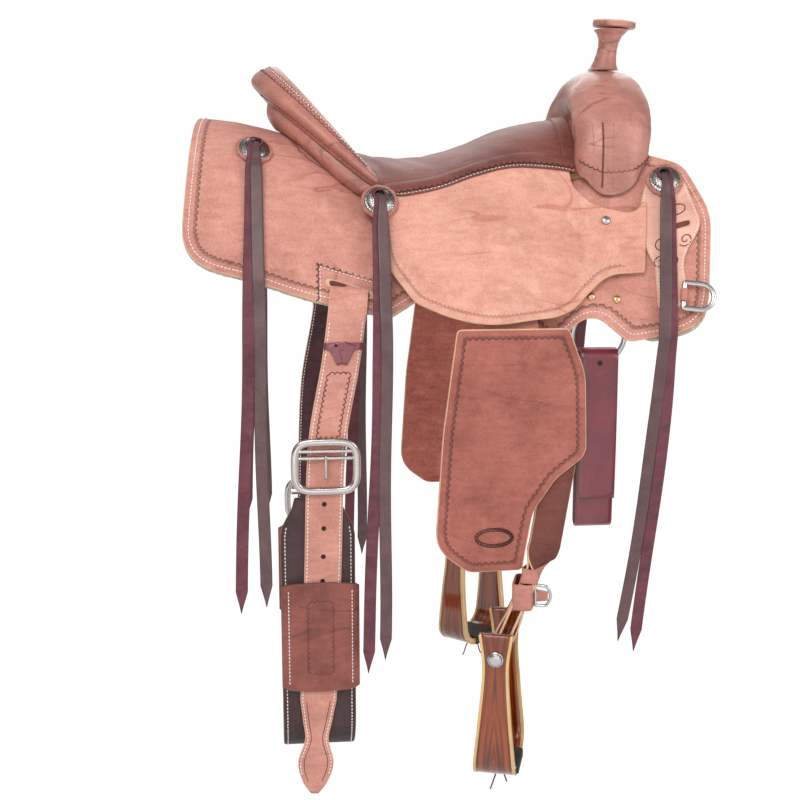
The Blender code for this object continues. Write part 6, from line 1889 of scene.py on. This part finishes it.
class SADDLE_OT_fenders(bpy.types.Operator):
    """The fenders with stamped borders and a bare oval, which hang on the stirrup leathers"""

    bl_idname = "saddle.fenders"
    bl_label = "Fenders"

    def execute(self, context):
        for label, side in SIDES:
            def place(x, z, n):
                wave = 0.0006 * lumps(np.stack([x, z, 0 * x], -1), 0.11, 41)
                return np.stack([x, -(0.246 + 0.0025 + n + wave * (n > -0.003)), z], -1)

            panel(f"fender_leather_{label}", FENDER, place, 0.005, [MATS["fender"], MATS["cut"], MATS["far"]],
                  f"fender_{label}", [f"fender_{label}"], side)
            # The bare oval's lines and stamps are thin dark wires of shadow leather: painted shade in the
            # tooled lines.
            t = around(96)
            for k, (wide, high) in enumerate(((0.0225, 0.0095), (0.0265, 0.0135))):
                ring = np.stack([0.045 + wide * np.cos(t), np.full(96, 0.2488 * side),
                                 -0.385 + high * np.sin(t)], -1)
                wire(f"fender_oval_{label}_{k + 1}", ring, (0, 1, 0), 0.0006, [MATS["dark"]],
                     f"fender_{label}", count=6)
            scallops(f"fender_oval_stamps_{label}", closed(ring), (0, -1, 0),
                     f"fender_{label}", MATS["dark"], 0.0052, 0.0024, 0.0006)
        return {"FINISHED"}


def stirrup_axes(label, side):
    """The stirrup's place, the way across it along its bolt, and the way through it."""
    turn = math.radians({"off": -17, "near": -43}[label])
    x = {"off": 0.057, "near": 0.092}[label]
    return (np.array((x, 0.2445 * side, 0.0)), np.array((math.sin(-turn), math.cos(turn), 0.0)),
            np.array((math.cos(turn), math.sin(turn), 0.0)))


class SADDLE_OT_leathers(bpy.types.Operator):
    """The stirrup leathers below the fenders, their hobble straps with buckles, and the small sleeves"""

    bl_idname = "saddle.leathers"
    bl_label = "Stirrup leathers"

    def execute(self, context):
        for label, side in SIDES:
            spot, across, through = stirrup_axes(label, side)
            self.loop(label, side, spot, across)
            self.hobble(label, side, across, through)
            self.sleeve(label, side, across)
            self.plies(label, side, across)
        return {"FINISHED"}

    def centre(self, label, side, z):
        """Where the doubled leather runs at a height."""
        spot = stirrup_axes(label, side)[0]
        z = np.asarray(z, float)
        top = np.array((0.117, (0.246 - 0.0025 - 0.0003 - 0.002 - 0.0026) * side, 0.0))
        share = np.clip((-0.400 - z) / 0.140, 0, 1)[..., None]
        path = top * (1 - share) + spot * share
        path[..., 0] += 0.018 * np.clip((z + 0.400) / 0.115, 0, 1)
        path[..., 2] = z
        return path

    def loop(self, label, side, spot, across):
        """The doubled strap: down one ply, round the bolt, and up the other, twisting as it goes."""
        bolt = 0.005 + 0.0008 + 0.002
        z = np.linspace(-0.285, -0.534, 60)
        turn = smooth((-0.400 - z) / 0.046)[:, None]
        ways = unit(np.array((1.0, 0, 0)) * (1 - turn) + across * turn)
        out = np.cross(UP, ways)
        spread = 0.0026 + (bolt - 0.0026) * turn
        centre = self.centre(label, side, z)
        t = np.linspace(0, math.pi, 16)[:, None]
        low = spot + np.array((0, 0, -0.540))
        flat = np.cross(UP, across)
        bend = low + flat * bolt * np.cos(t) - UP * bolt * np.sin(t)
        path = np.concatenate([centre + out * spread, bend, (centre - out * spread)[::-1]])
        ways = np.concatenate([ways, np.broadcast_to(across, bend.shape), ways[::-1]])
        strap(f"stirrup_leather_{label}", path, ways, 0.044, 0.0038, [MATS["leathers"]], f"fender_{label}",
              [f"stirrup_loop_{label}"])

    def sleeve(self, label, side, across):
        """A leather band round the doubled strap: an oblong section carried down it, outside and inside."""
        z = np.linspace(-0.428, -0.447, 14)
        turn = smooth((-0.400 - z) / 0.046)[:, None]
        ways = unit(np.array((1.0, 0, 0)) * (1 - turn) + across * turn)
        out = np.cross(UP, ways)
        centre = self.centre(label, side, z)
        a = around(48)
        u = squared(np.cos(a), 0.3)
        v = squared(np.sin(a), 0.4)
        spread = (0.0026 + 0.0052 * turn)

        def layer(grow):
            return (centre[:, None] + ways[:, None] * (u * (0.0226 + grow))[None, :, None]
                    + out[:, None] * v[None, :, None] * (spread + 0.0024 + grow)[:, None])

        grid = np.concatenate([layer(0.0026), layer(0.0004)[::-1]])
        make(f"leather_sleeve_{label}", grid.reshape(-1, 3), grid_faces(28, 48, True, True), [MATS["plain"]],
             f"fender_{label}")

    def plies(self, label, side, across):
        """Two more straps of the leather below the hobble strap, splayed a little from the doubled one."""
        z = np.linspace(-0.450, -0.532, 16)
        centre = self.centre(label, side, z)
        out = np.cross(UP, across)
        splay = 0.0078 + 0.0028 + 0.0034 * smooth((-0.486 - z) / 0.03)
        for end, sign in ENDS:
            strap(f"leather_ply_{label}_{end}", centre + out * (sign * splay)[:, None], across,
                  0.040, 0.0026, [MATS["leathers"]], f"fender_{label}")

    def hobble(self, label, side, across, through):
        """A band round the leathers with a buckle at its front, and the tip of its strap."""
        half_a, half_t = 0.022 + 0.0010 + 0.00175, 0.0058 + 0.004 + 0.0013 + 0.00175
        t = around(64)
        pa = squared(np.sin(t), 0.3) * half_a
        pt = squared(np.cos(t), 0.3) * half_t
        mid = self.centre(label, side, np.array([-0.4665]))[0]
        path = resample(np.stack([mid + across * a + through * b for a, b in zip(pa, pt)]), 72)
        band(f"hobble_leather_{label}", path, (0, 0, 1), 0.037, 0.0032, [MATS["plain"]], f"fender_{label}",
             [f"hobble_strap_{label}"])
        beside = across * (0.0230 * 0.45) * side
        foot = mid + beside + through * (half_t + 0.00175 + 0.0022 + 0.0003)
        shape = smooth_path([(0.0, -0.014), (0.0, 0.0), (0.0, 0.014), (0.008, 0.0142), (0.016, 0.0125),
                             (0.021, 0.0), (0.016, -0.0125), (0.008, -0.0142), (0.0, -0.014)], 61)[:-1]
        ring = foot + through * shape[:, :1] + UP * shape[:, 1:]
        wire(f"silver_hobble_{label}", ring, np.cross(through, UP), 0.0022, [MATS["silver"]],
             f"fender_{label}", [f"hobble_buckle_{label}"])
        tip = foot + through * np.linspace(-0.002, 0.017, 10)[:, None] + across * 0.0004
        strap(f"hobble_tip_{label}", tip, (0, 0, 1), np.linspace(0.019, 0.013, 10), 0.0028, [MATS["plain"]],
              f"fender_{label}")


class SADDLE_OT_stirrups(bpy.types.Operator):
    """The bent wood stirrups with pale edges, their bolts, and the laced tread leather"""

    bl_idname = "saddle.stirrups"
    bl_label = "Stirrups"

    def execute(self, context):
        for label, side in SIDES:
            spot, across, through = stirrup_axes(label, side)
            self.wood(label, spot, across, through)
            self.bolt(label, spot, across)
            self.tread(label, spot, across, through)
        return {"FINISHED"}

    def path(self):
        """The strip's centre line across the stirrup, down a leg, round the tread and up the other."""
        half, base, neck = 0.058, -0.716 + 0.0045, 0.058 * 0.91
        t = np.linspace(0, math.pi / 2, 12)
        leg = smooth_path([(neck, -0.5062), (neck, -0.5565), (half - 0.0012, -0.610), (half, -0.650),
                           (half, base + 0.034)], 40)
        left = np.stack([-leg[:, 0], leg[:, 1]], -1)
        arc = np.stack([-half + 0.030 - 0.030 * np.cos(t), base + 0.030 - 0.030 * np.sin(t)], -1)
        flat = np.stack([np.linspace(-half + 0.033, half - 0.033, 14), np.full(14, base)], -1)
        mirror = np.stack([-arc[::-1, 0], arc[::-1, 1]], -1)
        return np.concatenate([left, arc, flat, mirror, leg[::-1]])

    def wood(self, label, spot, across, through):
        """The strip's section is a flat oblong; its two edges are separate pale strips, slightly proud."""
        line = self.path()
        depths = line_through(((-0.716, 0.056), (-0.690, 0.055), (-0.620, 0.042), (-0.552, 0.034),
                               (-0.506, 0.045)))
        depth = depths(line[:, 1])
        path = spot + across * line[:, :1] + UP * line[:, 1:]
        name = f"stirrup_{label}"
        strap(f"stirrup_wood_{label}", path, through, depth - 0.0012, 0.0088, [MATS["wood"]], name, [name])
        for end, sign in ENDS:
            shift = through * (sign * (depth / 2 - 0.0011))[:, None]
            strap(f"stirrup_edge_{label}_{end}", path + shift, through, 0.0028, 0.0096,
                  [MATS["wood_edge"]], name, [name])

    def bolt(self, label, spot, across):
        """The bolt through both legs, with a domed head and its groove at each end."""
        centre = spot + np.array((0, 0, -0.540))
        leg = 0.058 * 0.91 + 0.0045 + 0.0003
        skin(f"bolt_shank_{label}", turned([(0.0048, -leg), (0.0048, leg)], centre, across, (0, 0, 1), 24),
             [MATS["silver"]], f"stirrup_{label}", [f"stirrup_bolt_{label}"])
        for end, sign in ENDS:
            seat = centre + across * leg * sign
            dome = turned([(0.0002, 0.0), (0.0108, 0.0), (0.0110, 0.0010), (0.0104, 0.0018), (0.0088, 0.0021),
                           (0.0084, 0.0024), (0.0060, 0.0036), (0.0030, 0.0040), (0.0002, 0.0040)], seat,
                          across * sign, (0, 0, 1), 40)
            skin(f"bolt_head_{label}_{end}", dome, [MATS["silver"]], f"stirrup_{label}",
                 [f"stirrup_bolt_{label}"])
            # A thin dark ring laid in the groove: painted shade.
            groove = turned([(0.0086, 0.0021)], seat, across * sign, (0, 0, 1), 48)[0]
            wire(f"bolt_groove_{label}_{end}", groove, across, 0.0005, [MATS["dark"]],
                 f"stirrup_{label}", count=6)

    def tread(self, label, spot, across, through):
        """The tread leather: a sleeve whose face is pressed into ribs across the foot, laced below."""
        half = 0.028
        y = np.linspace(-half, half, 85)
        base = -0.716 + 0.0045
        depth, rise = 0.028 + 0.0004 + 0.0013, 0.0045 + 0.0004 + 0.0013
        t = around(64)
        px = squared(np.cos(t), 0.25) * depth
        pz = squared(np.sin(t), 0.25) * rise
        ribs = 0.0008 * np.abs(np.sin(y / 0.0040 * math.pi))[:, None] * np.ones(64)[None, :]

        def layer(extra):
            reach = (depth + extra) / depth
            high = (rise + extra) / rise
            return (spot + across * y[:, None, None] + through * (px[None, :] * reach)[..., None]
                    + UP * (base + pz[None, :] * high)[..., None])

        outer, inner = layer(ribs + 0.0006), layer(-0.0010 + 0 * ribs)
        grid = np.concatenate([outer, inner[::-1]])
        faces = grid_faces(2 * len(y), 64, True, True)
        make(f"tread_leather_{label}", grid.reshape(-1, 3), faces, [MATS["tread"]], f"stirrup_{label}",
             [f"stirrup_tread_{label}"])
        for k, sign in enumerate((-1, 1)):
            t = np.linspace(0, 1, 22)
            drop = base - rise - 0.0016 - 0.032 * t
            line = (spot + across * (sign * (0.003 + 0.014 * t + 0.003 * np.sin(t * 5)))[:, None]
                    + through * (0.010 * sign * t)[:, None] + UP * drop[:, None])
            lace = wire(f"tread_lace_{label}_{k + 1}", line, (0.3, 0.2, 1), 0.0011, [MATS["maroon"]],
                        f"stirrup_{label}", joined=False, count=8)
            tuple(float(v) for v in line[0])


HIDDEN = {"tree_bar_off": "tree", "tree_bar_near": "tree", "tree_fork": "tree", "tree_cantle": "tree",
          "ground_seat": "flesh", "upper_leather_off": "flesh", "upper_leather_near": "flesh"}


class SADDLE_OT_tree(bpy.types.Operator):
    """Wood and leather on the solids of the tree, the ground seat and the upper leathers"""

    bl_idname = "saddle.tree"
    bl_label = "Tree"

    def execute(self, context):
        for name, mat in HIDDEN.items():
            mesh = bpy.data.objects[name].data
            mesh.materials.clear()
            mesh.materials.append(MATS[mat])
        return {"FINISHED"}


class SADDLE_OT_stage(bpy.types.Operator):
    """The pale floor and backdrop, the soft lamps and the camera of the photograph"""

    bl_idname = "saddle.stage"
    bl_label = "Stage"

    def execute(self, context):
        scene = context.scene
        scene.view_settings.view_transform = "Standard"
        self.world(scene)
        self.floor()
        for name, spot, size, power, aim in (
            ("key_lamp", (-0.9, -2.2, 1.9), 1.6, 40, (0.0, 0.0, -0.1)),
            ("front_lamp", (1.9, -1.6, 0.9), 1.4, 15, (0.1, 0.0, -0.1)),
            ("back_lamp", (0.4, 2.2, 1.7), 1.8, 22, (0.0, 0.0, -0.1)),
            ("low_lamp", (-0.4, -2.3, -0.5), 1.6, 9, (0.0, 0.0, -0.4)),
        ):
            data = bpy.data.lights.new(name, "AREA")
            data.shape = "SQUARE"
            data.size = size
            data.energy = power
            lamp = bpy.data.objects.new(name, data)
            scene.collection.objects.link(lamp)
            lamp.location = spot
            lamp.rotation_euler = (Vector(aim) - Vector(spot)).to_track_quat("-Z", "Y").to_euler()
        eye = bpy.data.cameras.new("photo_camera")
        eye.sensor_width = 36.0
        eye.lens = 59.3
        camera = bpy.data.objects.new("photo_camera", eye)
        scene.collection.objects.link(camera)
        camera.location = (-0.2482, -1.9542, 0.1416)
        target = Vector((-0.06, 0.0, -0.24))
        camera.rotation_euler = (target - camera.location).to_track_quat("-Z", "Y").to_euler()
        scene.camera = camera
        return {"FINISHED"}

    def seen(self, tree):
        """1 to the camera, in a mirror and through glass; 0 as light on something matt."""
        rays = node(tree, "ShaderNodeLightPath")
        return rays, math_node(tree, "MAXIMUM", rays.outputs["Is Camera Ray"], math_node(
            tree, "MAXIMUM", rays.outputs["Is Glossy Ray"], rays.outputs["Is Transmission Ray"]))

    def world(self, scene):
        """Seen directly or in a mirror the world is white; as a light it is dimmer."""
        world = bpy.data.worlds.new("studio")
        world.use_nodes = True
        tree = world.node_tree
        sky = tree.nodes["Background"]
        sky.inputs[0].default_value = (1, 1, 1, 1)
        rays, seen = self.seen(tree)
        level = plus(tree, times(tree, seen, 0.55), 0.45)
        way = node(tree, "ShaderNodeTexCoord").outputs["Generated"]
        bands = noise(tree, way, 1.7, 1.0)
        mirror = plus(tree, 0.22, times(tree, ramp(tree, bands, 0.44, 0.58), 0.75))
        bounce = rays.outputs["Is Glossy Ray"]
        level = plus(tree, times(tree, level, minus(tree, 1.0, bounce)), times(tree, mirror, bounce))
        tree.links.new(level, sky.inputs[1])
        scene.world = world

    def floor(self):
        """A wide flat floor, white to the camera and to reflections, and matt under the light."""
        x, y = np.meshgrid(np.linspace(-30, 30, 13), np.linspace(-30, 30, 13), indexing="ij")
        z = np.full_like(x, -0.800)
        mesh = bpy.data.meshes.new("floor")
        mesh.from_pydata(np.stack([x, y, z], -1).reshape(-1, 3).tolist(), [], grid_faces(13, 13))
        mat, tree, shader = blank("pale_floor")
        shader.inputs["Base Color"].default_value = (0.86, 0.86, 0.86, 1)
        shader.inputs["Roughness"].default_value = 0.9
        _, seen = self.seen(tree)
        glow = node(tree, "ShaderNodeEmission", {"Color": (1, 1, 1, 1), "Strength": 1.18})
        mix = node(tree, "ShaderNodeMixShader", {0: times(tree, seen, 0.8), 1: shader.outputs[0],
                                                 2: glow.outputs[0]})
        tree.links.new(mix.outputs[0], tree.nodes["Material Output"].inputs[0])
        mesh.materials.append(mat)
        obj = bpy.data.objects.new("floor", mesh)
        bpy.context.scene.collection.objects.link(obj)


OPERATORS = (SADDLE_OT_tree, SADDLE_OT_strings, SADDLE_OT_skirts, SADDLE_OT_fleece, SADDLE_OT_jockeys,
             SADDLE_OT_seat, SADDLE_OT_cantle, SADDLE_OT_swell, SADDLE_OT_keepers, SADDLE_OT_conchos,
             SADDLE_OT_dees, SADDLE_OT_rigging, SADDLE_OT_flank, SADDLE_OT_fenders, SADDLE_OT_leathers,
             SADDLE_OT_stirrups)


class SADDLE_PT_pieces(bpy.types.Panel):
    """Lists the saddle's pieces, colours and sizes"""

    bl_label = "Saddle"
    bl_idname = "SADDLE_PT_pieces"
    bl_space_type = "VIEW_3D"
    bl_region_type = "UI"
    bl_category = "Saddle"

    def draw(self, context):
        column = self.layout.column()
        column.operator(SADDLE_OT_stage.bl_idname)
        for operator in OPERATORS:
            column.operator(operator.bl_idname)
        for settings in (context.scene.saddle_colours, context.scene.saddle_sizes):
            for key in settings.__annotations__:
                column.prop(settings, key)


CLASSES = (SaddleColours, SaddleSizes, SADDLE_OT_stage, *OPERATORS, SADDLE_PT_pieces)


def register():
    for cls in CLASSES:
        bpy.utils.register_class(cls)
    bpy.types.Scene.saddle_colours = bpy.props.PointerProperty(type=SaddleColours)
    bpy.types.Scene.saddle_sizes = bpy.props.PointerProperty(type=SaddleSizes)


def unregister():
    del bpy.types.Scene.saddle_sizes
    del bpy.types.Scene.saddle_colours
    for cls in reversed(CLASSES):
        bpy.utils.unregister_class(cls)


def main():
    """Registers the tools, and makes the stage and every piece."""
    register()
    build_finishes()
    bpy.ops.saddle.stage()
    for operator in OPERATORS:
        group_name, call = operator.bl_idname.split(".")
        getattr(getattr(bpy.ops, group_name), call)()


if __name__ == "__main__":
    main()
